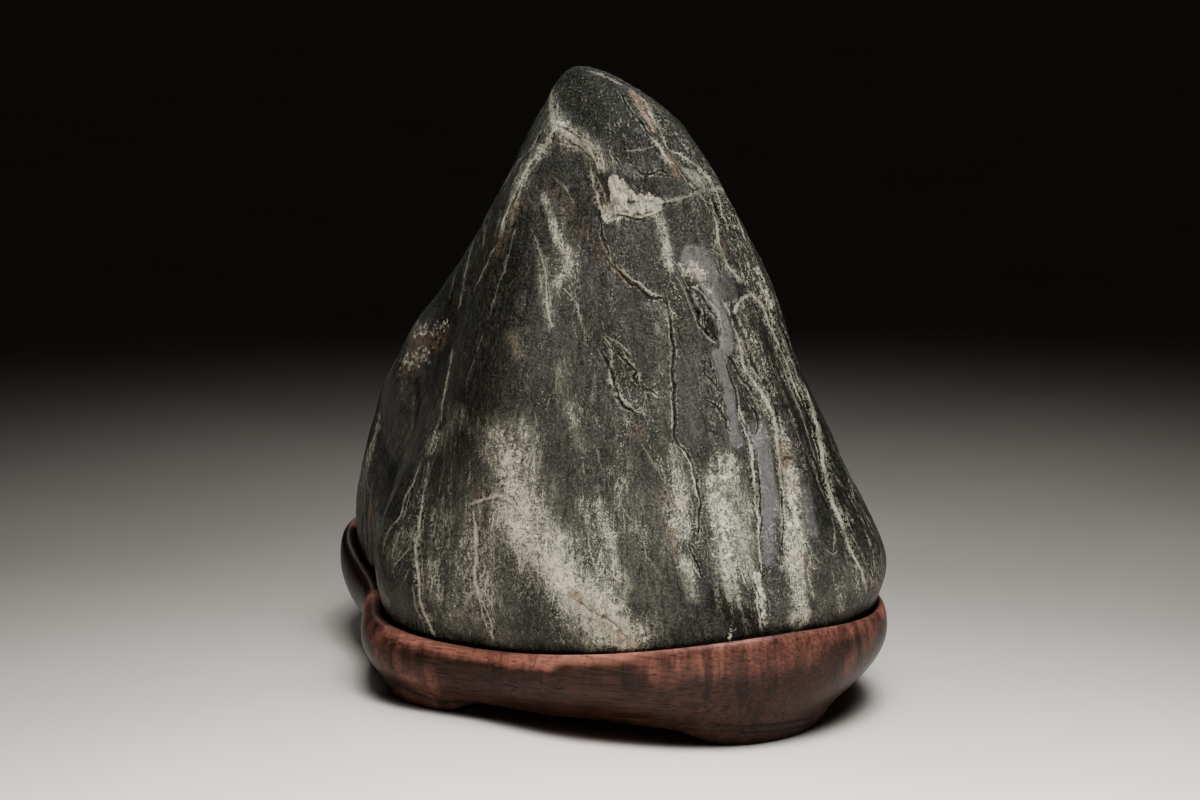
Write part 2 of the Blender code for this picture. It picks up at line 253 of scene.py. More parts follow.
CRACKS = (
    # the summit and the cap's lower ledge
    Crack(0.5, 0.5, ((620, 90), (630, 109), (640, 121), (656, 141)), lip=-0.3),
    Crack(0.5, 0.7, ((604, 221), (616, 215), (638, 219), (658, 213)), lip=-0.4),
    Crack(0.45, 0.4, ((600, 220), (606, 248), (612, 263))),
    Crack(0.5, 0.5, ((640, 178), (652, 174), (676, 178)), lip=0.3),
    Crack(0.5, 0.6, ((700, 178), (712, 200), (720, 216), (727, 228)), lip=-0.3),
    Crack(0.4, 0.4, ((712, 232), (718, 242), (727, 262))),
    Crack(0.4, 0.3, ((546, 128), (532, 148), (520, 176))),
    Crack(0.45, 0.5, ((607, 148), (617, 160), (625, 175)), lip=0.3),
    Crack(0.45, 0.6, ((625, 151), (631, 164), (645, 174), (662, 171), (674, 176)), lip=-0.4),
    Crack(0.45, 0.5, ((632, 178), (636, 190), (648, 196), (664, 194)), lip=-0.3),
    # the ledge and the long fissure of the front
    Crack(0.6, 0.9, ((605, 255), (624, 277), (638, 286), (652, 297), (665, 298)), lip=-0.7),
    Crack(0.45, 0.7, ((664, 298), (670, 314), (670, 332), (674, 350), (673, 378), (675, 420), (677, 441),
                     (688, 456), (696, 478), (700, 500), (698, 540)), lip=0.5),
    Crack(0.5, 0.6, ((600, 336), (610, 347), (619, 353)), lip=-0.4),
    Crack(0.55, 0.8, ((598, 345), (611, 370), (616, 386), (621, 400), (632, 411), (647, 412)), lip=-0.6),
    Crack(0.6, 0.9, ((617, 352), (628, 363), (636, 372), (632, 378), (643, 388), (660, 397)), lip=-0.6),
    Crack(0.4, 0.4, ((607, 315), (613, 322), (615, 336))),
    # the pits and fissures of the right shoulder
    Crack(0.6, 0.9, ((687, 284), (691, 297), (699, 312), (701, 324), (716, 341)), lip=-0.5),
    Crack(0.5, 0.7, ((687, 284), (701, 297), (711, 307), (718, 328), (716, 341)), lip=0.4),
    Crack(0.5, 0.6, ((706, 248), (716, 254), (721, 266), (721, 282)), lip=0.5),
    Crack(0.5, 0.7, ((721, 350), (727, 368), (733, 385), (737, 398), (740, 440)), lip=0.4),
    Crack(0.5, 0.6, ((722, 350), (733, 362), (742, 378), (755, 394), (764, 408)), lip=-0.3),
    Crack(0.7, 1.0, ((733, 298), (733, 317), (742, 335), (752, 358), (768, 387), (777, 412), (779, 428)), lip=0.5),
    Crack(0.5, 0.6, ((700, 366), (712, 381), (727, 399)), lip=-0.3),
    Crack(0.4, 0.5, ((708, 352), (714, 375), (724, 405), (728, 440)), lip=0.4),
    Crack(0.4, 0.4, ((756, 448), (759, 480), (761, 520), (760, 550)), lip=0.4),
    Crack(0.4, 0.5, ((676, 262), (690, 284), (702, 306), (708, 330)), lip=0.3),
    Crack(0.5, 0.5, ((702, 401), (716, 405), (726, 424), (734, 440)), lip=-0.3),
    Crack(0.5, 0.7, ((748, 400), (757, 414), (758, 428), (753, 440))),
    Crack(0.5, 0.6, ((739, 400), (741, 415), (748, 432), (753, 442)), lip=0.3),
    Crack(0.5, 0.6, ((768, 298), (772, 320), (781, 345), (792, 370), (801, 395), (812, 425)), lip=0.3),
    Crack(0.5, 0.6, ((776, 312), (786, 338), (799, 366), (812, 392)), lip=-0.3),
    Crack(0.5, 0.5, ((803, 392), (812, 424), (820, 456), (827, 486))),
    Crack(0.45, 0.4, ((838, 452), (846, 478), (856, 512))),
    # the foot of the front
    Crack(0.5, 0.6, ((689, 545), (694, 559), (703, 576)), lip=-0.4),
    Crack(0.6, 0.5, ((567, 592), (583, 605), (603, 617), (620, 630), (627, 639)), lip=0.2),
    Crack(0.4, 0.4, ((780, 448), (781, 480), (783, 520), (781, 556)), lip=-0.2),
)

PATCHES = (
    # the summit
    Patch(Ground.PALE, 2.3, 0.85, ((560, 125), (572, 138), (590, 148), (602, 165))),
    Patch(Ground.CREAM, 1.4, 0.50, ((560, 126), (575, 138), (592, 150), (602, 168))),
    Patch(Ground.CREAM, 1.2, 0.42, ((556, 132), (540, 150), (524, 178), (512, 205))),
    Patch(Ground.CREAM, 2.2, 1.0, ((615, 184), (619, 192), (617, 204), (611, 212)), 0.35),
    Patch(Ground.CREAM, 1.7, 1.0, ((614, 210), (630, 209), (645, 208), (657, 204)), 0.35),
    Patch(Ground.CREAM, 1.5, 0.8, ((622, 184), (632, 196), (648, 200)), 0.6),
    Patch(Ground.PALE, 1.1, 0.85, ((657, 214), (663, 229), (667, 250), (671, 265))),
    Patch(Ground.PALE, 1.0, 0.80, ((545, 198), (551, 216), (558, 238), (568, 256))),
    Patch(Ground.PALE, 1.2, 0.8, ((567, 256), (566, 270), (556, 284))),
    Patch(Ground.PALE, 3.0, 0.25, ((556, 210), (568, 250), (562, 282))),
    Patch(Ground.PALE, 1.2, 0.6, ((543, 262), (546, 300), (549, 325))),
    Patch(Ground.PALE, 2.2, 0.55, ((552, 134), (532, 162), (515, 192), (504, 226))),
    Patch(Ground.SMOOTH, 2.4, 0.35, ((627, 168), (650, 166))),
    # painted shade in a shadowed hollow
    Patch(Ground.DARK, 1.6, 0.5, ((640, 184), (654, 190))),
    Patch(Ground.ROUGH, 5.0, 0.6, ((650, 110), (680, 145), (705, 190))),
    # dark ground on the summit's cap, partly painted shade
    Patch(Ground.DARK, 6.0, 0.75, ((572, 78), (580, 100), (592, 128))),
    Patch(Ground.DARK, 6.0, 0.5, ((605, 90), (620, 122), (640, 152))),
    Patch(Ground.DARK, 6.0, 0.8, ((556, 160), (566, 190), (580, 215))),
    Patch(Ground.RUST, 2.2, 0.6, ((672, 158), (677, 171))),
    Patch(Ground.RUST, 1.2, 0.12, ((548, 180), (575, 214), (600, 250), (615, 269)), 0.9),
    Patch(Ground.RUST, 1.6, 0.5, ((518, 205), (512, 216))),
    Patch(Ground.RUST, 1.6, 0.5, ((502, 236), (498, 248))),
    Patch(Ground.PALE, 1.5, 0.80, ((550, 90), (553, 106), (555, 124))),
    Patch(Ground.ROUGH, 4.0, 0.6, ((545, 130), (525, 165), (508, 205), (490, 250))),
    # the left ridge and its shadowed side
    Patch(Ground.CREAM, 2.0, 0.45, ((414, 328), (424, 331), (444, 328)), 0.9),
    Patch(Ground.CREAM, 2.4, 0.40, ((402, 358), (416, 362), (430, 352)), 0.9),
    Patch(Ground.PALE, 3.5, 0.35, ((408, 330), (424, 345), (412, 368)), 0.9),
    Patch(Ground.RUST, 3.0, 0.3, ((408, 340), (424, 350), (410, 366)), 0.9),
    Patch(Ground.RUST, 2.4, 0.6, ((428, 344), (440, 338))),
    Patch(Ground.ROUGH, 3.4, 0.9, ((432, 442), (446, 430), (460, 416))),
    Patch(Ground.PALE, 2.6, 0.55, ((434, 440), (446, 428), (458, 414))),
    Patch(Ground.PALE, 2.6, 0.40, ((390, 554), (400, 543), (412, 536))),
    Patch(Ground.ROUGH, 3.0, 0.7, ((390, 552), (400, 540), (410, 534))),
    Patch(Ground.PALE, 1.5, 0.4, ((377, 500), (377, 600))),
    Patch(Ground.CREAM, 1.0, 0.5, ((373, 436), (373, 446)), 0.9),
    # the bright cloud on the front's lower left
    Patch(Ground.PALE, 3.6, 0.80, ((497, 440), (507, 456), (512, 486), (518, 512))),
    Patch(Ground.PALE, 2.8, 0.75, ((520, 428), (526, 460), (527, 492))),
    Patch(Ground.PALE, 6.5, 0.7, ((500, 456), (511, 486), (528, 520), (552, 556))),
    Patch(Ground.CREAM, 2.2, 0.6, ((512, 452), (508, 478), (520, 500)), 0.9),
    Patch(Ground.PALE, 6.2, 1.15, ((522, 505), (530, 535), (552, 562), (578, 594), (600, 622), (612, 636))),
    Patch(Ground.CREAM, 3.2, 0.62, ((530, 530), (552, 560), (584, 598), (606, 612), (630, 636)), 0.9),
    Patch(Ground.CREAM, 2.6, 0.5, ((590, 626), (612, 640), (636, 652)), 0.9),
    Patch(Ground.PALE, 3.4, 0.6, ((576, 624), (596, 640), (614, 648))),
    Patch(Ground.RUST, 2.2, 0.9, ((576, 598), (598, 614), (622, 636))),
    Patch(Ground.RUST, 2.0, 0.3, ((474, 484), (482, 500)), 0.9),
    Patch(Ground.RUST, 1.2, 0.45, ((512, 342), (516, 350)), 0.9),
    Patch(Ground.PALE, 1.8, 0.4, ((512, 338), (517, 354)), 0.9),
    Patch(Ground.PALE, 9.0, 0.46, ((466, 530), (474, 605)), 0.9),
    Patch(Ground.PALE, 4.0, 0.42, ((434, 570), (450, 620)), 0.9),
    # the front face
    Patch(Ground.PALE, 1.4, 0.45, ((560, 363), (562, 402), (574, 426), (580, 442))),
    Patch(Ground.PALE, 1.5, 0.75, ((598, 505), (607, 535), (616, 565), (628, 585), (622, 604))),
    Patch(Ground.PALE, 3.0, 0.4, ((590, 510), (604, 560))),
    Patch(Ground.PALE, 7.0, 0.30, ((640, 490), (648, 530), (646, 575)), 0.9),
    Patch(Ground.PALE, 1.4, 0.20, ((663, 310), (662, 370), (664, 440)), 0.9),
    Patch(Ground.PALE, 1.7, 0.65, ((676, 452), (681, 480), (680, 505), (683, 532))),
    Patch(Ground.PALE, 1.6, 0.7, ((686, 562), (690, 580), (696, 596))),
    Patch(Ground.SMOOTH, 3.0, 0.15, ((688, 360), (690, 420), (694, 440)), 0.5),
    Patch(Ground.RUST, 1.2, 0.35, ((663, 497), (671, 500)), 0.9),
    Patch(Ground.RUST, 1.2, 0.35, ((634, 426), (640, 432)), 0.9),
    Patch(Ground.RUST, 1.2, 0.3, ((672, 528), (676, 552)), 0.9),
    Patch(Ground.SMOOTH, 6.0, 0.12, ((645, 604), (685, 610)), 0.7),
    Patch(Ground.DARK, 3.0, 0.6, ((648, 630), (664, 645))),
    Patch(Ground.DARK, 4.0, 1.0, ((712, 600), (730, 614), (748, 626)), 0.7),
    Patch(Ground.ROUGH, 4.0, 0.6, ((720, 600), (745, 605))),
    Patch(Ground.PALE, 1.5, 0.8, ((726, 574), (732, 590), (738, 601))),
    # the pale grounds of the lower right
    Patch(Ground.PALE, 4.2, 0.80, ((726, 475), (731, 510), (738, 560)), 0.7),
    Patch(Ground.CREAM, 2.4, 0.5, ((720, 478), (722, 512), (724, 545)), 0.9),
    Patch(Ground.CREAM, 1.2, 0.45, ((712, 460), (722, 464), (738, 466))),
    Patch(Ground.PALE, 2.6, 0.6, ((742, 500), (748, 570)), 0.6),
    Patch(Ground.SMOOTH, 4.0, 0.30, ((728, 505), (734, 550))),
    Patch(Ground.PALE, 3.2, 0.85, ((790, 478), (790, 520), (796, 560), (798, 615)), 0.7),
    Patch(Ground.CREAM, 2.4, 0.55, ((790, 470), (794, 530), (797, 560)), 0.9),
    Patch(Ground.CREAM, 1.2, 0.7, ((757, 576), (762, 600), (766, 622)), 0.7),
    Patch(Ground.RUST, 2.0, 0.55, ((786, 446), (790, 482))),
    Patch(Ground.RUST, 1.6, 0.4, ((800, 552), (808, 562))),
    Patch(Ground.PALE, 3.5, 0.30, ((806, 600), (826, 604))),
    Patch(Ground.CREAM, 1.0, 0.5, ((731, 624), (729, 638))),
    # the polished strips, whose colour holds painted sheen
    Patch(Ground.SMOOTH, 2.8, 0.95, ((686, 256), (698, 264), (708, 280), (718, 300)), 0.35),
    Patch(Ground.CREAM, 1.3, 0.5, ((690, 264), (698, 276), (704, 290)), 0.9),
    Patch(Ground.SMOOTH, 1.9, 0.95, ((700, 298), (716, 314), (724, 340), (720, 360)), 0.3),
    Patch(Ground.SMOOTH, 1.8, 1.0, ((716, 356), (723, 380), (731, 410), (735, 440)), 0.45),
    Patch(Ground.SMOOTH, 1.9, 1.0, ((758, 430), (764, 462), (769, 500), (768, 520)), 0.45),
    Patch(Ground.SMOOTH, 2.2, 0.7, ((768, 510), (767, 556)), 0.9),
    Patch(Ground.SMOOTH, 1.3, 0.8, ((806, 490), (812, 530)), 0.6),
    Patch(Ground.SMOOTH, 2.0, 0.6, ((728, 276), (730, 300)), 0.5),
    # painted shade in the hollows and the pit beside the polished strips
    Patch(Ground.DARK, 2.4, 0.8, ((734, 270), (738, 296)), 0.5),
    Patch(Ground.DARK, 1.8, 0.85, ((694, 288), (704, 314), (716, 334)), 0.4),
    Patch(Ground.DARK, 1.8, 0.7, ((746, 404), (752, 430)), 0.5),
    Patch(Ground.CREAM, 1.6, 0.55, ((756, 270), (762, 288), (770, 304), (776, 326)), 0.7),
    Patch(Ground.CREAM, 1.8, 0.6, ((684, 268), (697, 274)), 0.7),
    Patch(Ground.PALE, 2.4, 0.3, ((744, 318), (748, 345), (757, 372))),
    Patch(Ground.ROUGH, 3.5, 0.9, ((752, 318), (762, 356), (778, 400)), 0.5),
    Patch(Ground.PALE, 1.3, 0.6, ((763, 392), (775, 418), (788, 450)), 0.7),
    Patch(Ground.RUST, 1.4, 0.5, ((726, 244), (729, 256))),
    # the right flank
    Patch(Ground.ROUGH, 7.0, 0.95, ((790, 395), (806, 440), (816, 470)), 0.5),
    Patch(Ground.ROUGH, 7.0, 0.95, ((846, 470), (858, 520), (866, 560)), 0.6),
    Patch(Ground.ROUGH, 5.0, 0.8, ((735, 215), (760, 275), (785, 330)), 0.6),
    Patch(Ground.DARK, 4.5, 0.95, ((792, 400), (806, 450), (816, 480), (824, 515)), 0.6),
    Patch(Ground.DARK, 9.0, 1.0, ((792, 350), (820, 430), (842, 500), (852, 526))),
    Patch(Ground.PALE, 6.0, 0.26, ((836, 604), (850, 590), (862, 560)), 0.9),
    # painted shade on the left flank, which faces away from the light
    Patch(Ground.DARK, 9.0, 1.0, ((516, 230), (498, 300), (484, 360), (468, 420))),
    Patch(Ground.DARK, 9.0, 0.9, ((440, 320), (420, 400), (400, 470), (386, 540))),
    Patch(Ground.DARK, 7.0, 0.70, ((650, 600), (680, 600), (690, 630))),
    # painted shade on the shaded left side
    Patch(Ground.DARK, 5.0, 0.5, ((440, 470), (446, 510))),
    Patch(Ground.ROUGH, 8.0, 0.45, ((462, 430), (450, 510), (446, 590)), 0.9),
    Patch(Ground.ROUGH, 6.0, 0.45, ((585, 90), (608, 122), (630, 165)), 0.9),
)

SWELLS = (
    Swell(4.5, 0.9, ((548, 160), (556, 190), (566, 225))),
    Swell(3.0, -0.9, ((548, 150), (570, 153), (586, 168), (594, 192), (600, 214))),
    Swell(3.0, 0.8, ((553, 130), (575, 138), (594, 152), (604, 172))),
    Swell(3.0, 0.5, ((680, 250), (700, 262), (712, 292))),
    Swell(2.6, -0.7, ((693, 285), (704, 312), (716, 334))),
    Swell(2.6, 0.4, ((704, 296), (722, 322), (724, 345))),
    Swell(2.8, 0.4, ((716, 362), (728, 392), (736, 436))),
    Swell(3.0, -0.7, ((732, 268), (738, 298))),
    Swell(2.6, -0.6, ((744, 402), (750, 432))),
    Swell(3.0, -0.5, ((742, 310), (752, 340), (762, 372))),
    Swell(3.0, 0.4, ((757, 425), (768, 490), (768, 546))),
    Swell(3.5, 0.5, ((616, 190), (640, 204), (660, 205))),
    Swell(3.0, -0.6, ((628, 190), (646, 190))),
    Swell(4.0, -0.5, ((676, 350), (682, 420), (694, 470))),
    Swell(4.0, 0.4, ((660, 320), (662, 380), (664, 440))),
    Swell(4.5, 0.5, ((600, 310), (612, 330), (628, 345))),
    Swell(4.0, -0.5, ((640, 310), (648, 350), (650, 385))),
    Swell(3.0, 0.35, ((560, 125), (540, 150), (524, 185), (508, 225))),
)

INCISIONS = (
    # above the near foot
    Incision(0.8, 0.35, ((702, 720), (712, 724), (722, 726), (753, 727), (786, 724), (814, 719))),
    Incision(0.6, 0.25, ((716, 730), (737, 732), (773, 732), (799, 728), (816, 723))),
    # above the left foot
    Incision(0.8, 0.35, ((397, 687), (415, 694), (438, 702), (456, 706))),
)

WEAR_AND_LIGHT_PATCHES = (
    WearAndLightPatch(5.0, 0.43, ((655, 668), (700, 664), (760, 658), (812, 650))),
    WearAndLightPatch(3.5, 0.43, ((780, 640), (840, 628), (872, 610))),
    # painted reflection of the floor on the left end and foot
    WearAndLightPatch(5.0, 0.41, ((372, 605), (374, 635), (390, 664), (425, 680))),
    WearAndLightPatch(2.4, 1.00, ((430, 634), (470, 646), (510, 655), (550, 660))),
    # painted reflection of the floor on the left foot
    WearAndLightPatch(3.0, 0.44, ((400, 696), (425, 702), (445, 706))),
    # painted reflection of the floor on the right end
    WearAndLightPatch(4.0, 0.40, ((852, 664), (872, 636), (878, 622))),
    # painted shade on the far left end
    WearAndLightPatch(5.0, -1.00, ((348, 512), (342, 530), (343, 552), (352, 576), (362, 592))),
)


def smooth_step(low: float, high: float, values: np.ndarray) -> np.ndarray:
    """Eases values from 0 at low to 1 at high.

    Args:
        low: Where the result leaves 0.
        high: Where the result reaches 1.
        values: The values to ease.

    Returns:
        The eased values.
    """
    share = np.clip((values - low) / (high - low), 0.0, 1.0)
    return share * share * (3.0 - 2.0 * share)


def rounded_course(marks: Course, step: float) -> list[tuple[float, float]]:
    """Rounds a course of marks into a smooth line through them.

    Args:
        marks: The marks that the line passes through.
        step: The greatest distance between the points given back.

    Returns:
        Points along the line, the first and last marks among them.
    """
    ends = [marks[0], *marks, marks[-1]]
    points = []
    for before, start, end, after in zip(ends, ends[1:], ends[2:], ends[3:]):
        count = max(1, math.ceil(math.dist(start, end) / step))
        for index in range(count):
            t = index / count
            point = tuple(
                0.5 * (2 * b + (c - a) * t + (2 * a - 5 * b + 4 * c - d) * t * t + (3 * b - a - 3 * c + d) * t ** 3)
                for a, b, c, d in zip(before, start, end, after)
            )
            points.append(point)
    return [*points, marks[-1]]


def measure_course(
    coords: np.ndarray, normals: np.ndarray, course: np.ndarray, reach: float
) -> tuple[np.ndarray, np.ndarray, np.ndarray]:
    """Measures the points of a surface that lie near a course on it.

    Args:
        coords: The surface's points, one row each.
        normals: The outward direction at each point.
        course: The points of the course, one row each.
        reach: How far from the course a point may lie, in metres.

    Returns:
        The rows of the near points, their distances from the course, positive on its right hand, and how
        far along it each lies from the nearer of its two ends.
    """
    near = np.flatnonzero(((coords > course.min(0) - reach) & (coords < course.max(0) + reach)).all(1))
    along = course[1:] - course[:-1]
    lengths = np.linalg.norm(along, axis=1)
    station = np.concatenate([[0.0], np.cumsum(lengths)])
    gap = coords[near][:, None] - course[:-1]
    share = np.clip((gap * along).sum(2) / lengths ** 2, 0.0, 1.0)
    offset = gap - share[..., None] * along
    span = np.linalg.norm(offset, axis=2)
    best = span.argmin(1)
    rows = np.arange(len(near))
    distance = span[rows, best]
    right = np.cross(along[best], normals[near])
    side = np.where((right * offset[rows, best]).sum(1) < 0.0, -1.0, 1.0)
    travelled = station[best] + share[rows, best] * lengths[best]
    inset = np.minimum(travelled, station[-1] - travelled)
    close = distance < reach
    return near[close], (distance * side)[close], inset[close]


@dataclass(frozen=True)
class StudioCamera:
    """The camera, and the rays that lead from it through positions of its view."""

    lens: float = 85.0
    sensor: float = 36.0
    distance: float = 0.645
    azimuth: float = math.radians(60.0)
    elevation: float = math.radians(12.0)
    aim: tuple[float, float, float] = (0.03684, -0.01852, 0.075)

    def back(self) -> Vector:
        """Direction from the aim to the camera."""
        level = math.cos(self.elevation)
        return Vector((math.sin(self.azimuth) * level, -math.cos(self.azimuth) * level, math.sin(self.elevation)))

    def axes(self) -> Matrix:
        """The camera's right, up and back directions, as the columns of a matrix."""
        back = self.back()
        right = Vector((0.0, 0.0, 1.0)).cross(back).normalized()
        return Matrix((right, back.cross(right), back)).transposed()

    def place(self) -> Vector:
        """Where the camera stands."""
        return Vector(self.aim) + self.back() * self.distance

    def ray(self, across: float, down: float) -> Vector:
        """Finds the direction of sight through a position of the view.

        Args:
            across: Distance from the view's left side, of VIEW_WIDTH.
            down: Distance from its top, of VIEW_HEIGHT.

        Returns:
            The direction, in the model's frame.
        """
        focal = self.lens / self.sensor * VIEW_WIDTH
        sight = Vector((across - VIEW_WIDTH / 2, VIEW_HEIGHT / 2 - down, -focal))
        return (self.axes() @ sight).normalized()

    def lay(self, marks: Course, surface: BVHTree) -> np.ndarray:
        """Lays a course of view positions on a surface.

        Args:
            marks: Positions in the camera's view.
            surface: What the course is laid on.

        Returns:
            The course's points, one row each.
        """
        start = self.place()
        hits = [surface.ray_cast(start, self.ray(*mark))[0] for mark in rounded_course(marks, COURSE_STEP)]
        return np.array([tuple(hit) for hit in hits if hit is not None])

    def build(self) -> bpy.types.Object:
        """Adds the camera to the scene and looks through it."""
        data = bpy.data.cameras.new("studio_camera")
        data.lens = self.lens
        data.sensor_width = self.sensor
        camera = bpy.data.objects.new("studio_camera", data)
        camera.matrix_world = Matrix.Translation(self.place()) @ self.axes().to_4x4()
        bpy.context.scene.collection.objects.link(camera)
        bpy.context.scene.camera = camera
        return camera


Socket = bpy.types.NodeSocket
Feed = Socket | float | tuple | Vector


@dataclass(frozen=True)
class Clouds:
    """A cloudy pattern.

    It has its features per metre, its finer layers and how strong they are, how far it is drawn about,
    and its pace along each axis.
    """

    scale: float
    detail: float
    roughness: float
    distortion: float = 0.0
    pace: Place | None = None


class Bench:
    """A material's node tree, with short ways to add its nodes and join them."""

    def __init__(self, name: str) -> None:
        """Starts a material with a plain surface shader."""
        self.material = bpy.data.materials.new(name)
        self.material.use_nodes = True
        self.tree = self.material.node_tree
        self.tree.nodes.clear()
        self.surface = self.tree.nodes.new("ShaderNodeBsdfPrincipled")
        output = self.tree.nodes.new("ShaderNodeOutputMaterial")
        self.tree.links.new(self.surface.outputs["BSDF"], output.inputs["Surface"])

    def feed(self, socket: Socket, value: Feed) -> None:
        """Joins a value to a socket, or sets it there where it is a constant."""
        if isinstance(value, bpy.types.NodeSocket):
            self.tree.links.new(value, socket)
        elif isinstance(value, tuple) and len(value) == 3 and socket.type == "RGBA":
            socket.default_value = (*value, 1.0)
        else:
            socket.default_value = value

    def finish(self, **values: Feed) -> bpy.types.Material:
        """Feeds the surface shader's sockets, named with _ for each space, and gives the material."""
        for name, value in values.items():
            self.feed(self.surface.inputs[name.replace("_", " ")], value)
        return self.material

    def place(self) -> Socket:
        """The point's place on the object."""
        return self.tree.nodes.new("ShaderNodeTexCoord").outputs["Object"]

    def carried(self, name: str, output: str = "Fac") -> Socket:
        """A value that the mesh carries at its points."""
        node = self.tree.nodes.new("ShaderNodeAttribute")
        node.attribute_name = name
        return node.outputs[output]

    def parts(self, vector: Socket) -> tuple[Socket, ...]:
        """The three parts of a vector."""
        node = self.tree.nodes.new("ShaderNodeSeparateXYZ")
        self.feed(node.inputs[0], vector)
        return tuple(node.outputs)

    def turned(self, vector: Socket, turn: float) -> Socket:
        """A place turned about the vertical."""
        node = self.tree.nodes.new("ShaderNodeMapping")
        self.feed(node.inputs["Vector"], vector)
        node.inputs["Rotation"].default_value = (0.0, 0.0, turn)
        return node.outputs[0]

    def stretched(self, vector: Socket, pace: Place) -> Socket:
        """A place scaled along each axis."""
        node = self.tree.nodes.new("ShaderNodeVectorMath")
        node.operation = "MULTIPLY"
        self.feed(node.inputs[0], vector)
        node.inputs[1].default_value = pace
        return node.outputs[0]

    def noise(self, place: Socket, clouds: Clouds) -> Socket:
        """A cloudy pattern read at a place, from 0 to 1."""
        node = self.tree.nodes.new("ShaderNodeTexNoise")
        self.feed(node.inputs["Vector"], self.stretched(place, clouds.pace) if clouds.pace else place)
        node.inputs["Scale"].default_value = clouds.scale
        node.inputs["Detail"].default_value = clouds.detail
        node.inputs["Roughness"].default_value = clouds.roughness
        node.inputs["Distortion"].default_value = clouds.distortion
        return node.outputs["Fac"]

    def maths(self, operation: str, *values: Feed) -> Socket:
        """One sum on one or two values."""
        node = self.tree.nodes.new("ShaderNodeMath")
        node.operation = operation
        for socket, value in zip(node.inputs, values):
            self.feed(socket, value)
        return node.outputs[0]

    def times(self, *values: Feed) -> Socket:
        """The product of several values."""
        product = values[0]
        for value in values[1:]:
            product = self.maths("MULTIPLY", product, value)
        return product

    def plus(self, *values: Feed) -> Socket:
        """The sum of several values."""
        total = values[0]
        for value in values[1:]:
            total = self.maths("ADD", total, value)
        return total

    def swing(self, value: Socket, amount: float) -> Socket:
        """A pattern's rise and fall about its middle, times an amount."""
        return self.times(self.plus(value, -0.5), amount)

    def seam(self, value: Socket, low: float, high: float) -> Socket:
        """Thin lines where a pattern crosses its middle: full within low of it, and gone past high."""
        return self.band(self.maths("ABSOLUTE", self.plus(value, -0.5)), low, high, 1.0, 0.0)

    def band(self, value: Feed, low: float, high: float, start: float = 0.0, end: float = 1.0) -> Socket:
        """Eases a value from start at low to end at high."""
        node = self.tree.nodes.new("ShaderNodeMapRange")
        node.interpolation_type = "SMOOTHSTEP"
        for socket, given in zip(node.inputs, (value, low, high, start, end)):
            self.feed(socket, given)
        return node.outputs["Result"]

    def blend(self, share: Feed, first: Feed, second: Feed) -> Socket:
        """Mixes two colours: the share that the second takes over the first."""
        node = self.tree.nodes.new("ShaderNodeMix")
        node.data_type = "RGBA"
        self.feed(node.inputs[0], share)
        self.feed(node.inputs[6], first)
        self.feed(node.inputs[7], second)
        return node.outputs[2]

    def ramp(self, value: Feed, stops: tuple[tuple[float, Colour], ...]) -> Socket:
        """Picks a colour from stops, each a position and its colour."""
        node = self.tree.nodes.new("ShaderNodeValToRGB")
        self.feed(node.inputs[0], value)
        elements = node.color_ramp.elements
        while len(elements) < len(stops):
            elements.new(0.5)
        for element, (position, colour) in zip(elements, stops):
            element.position = position
            element.color = (*colour, 1.0)
        return node.outputs["Color"]

    def relief(self, height: Feed) -> Socket:
        """Turns a height in millimetres into a bumped normal."""
        node = self.tree.nodes.new("ShaderNodeBump")
        node.inputs["Distance"].default_value = MM
        self.feed(node.inputs["Height"], height)
        return node.outputs["Normal"]


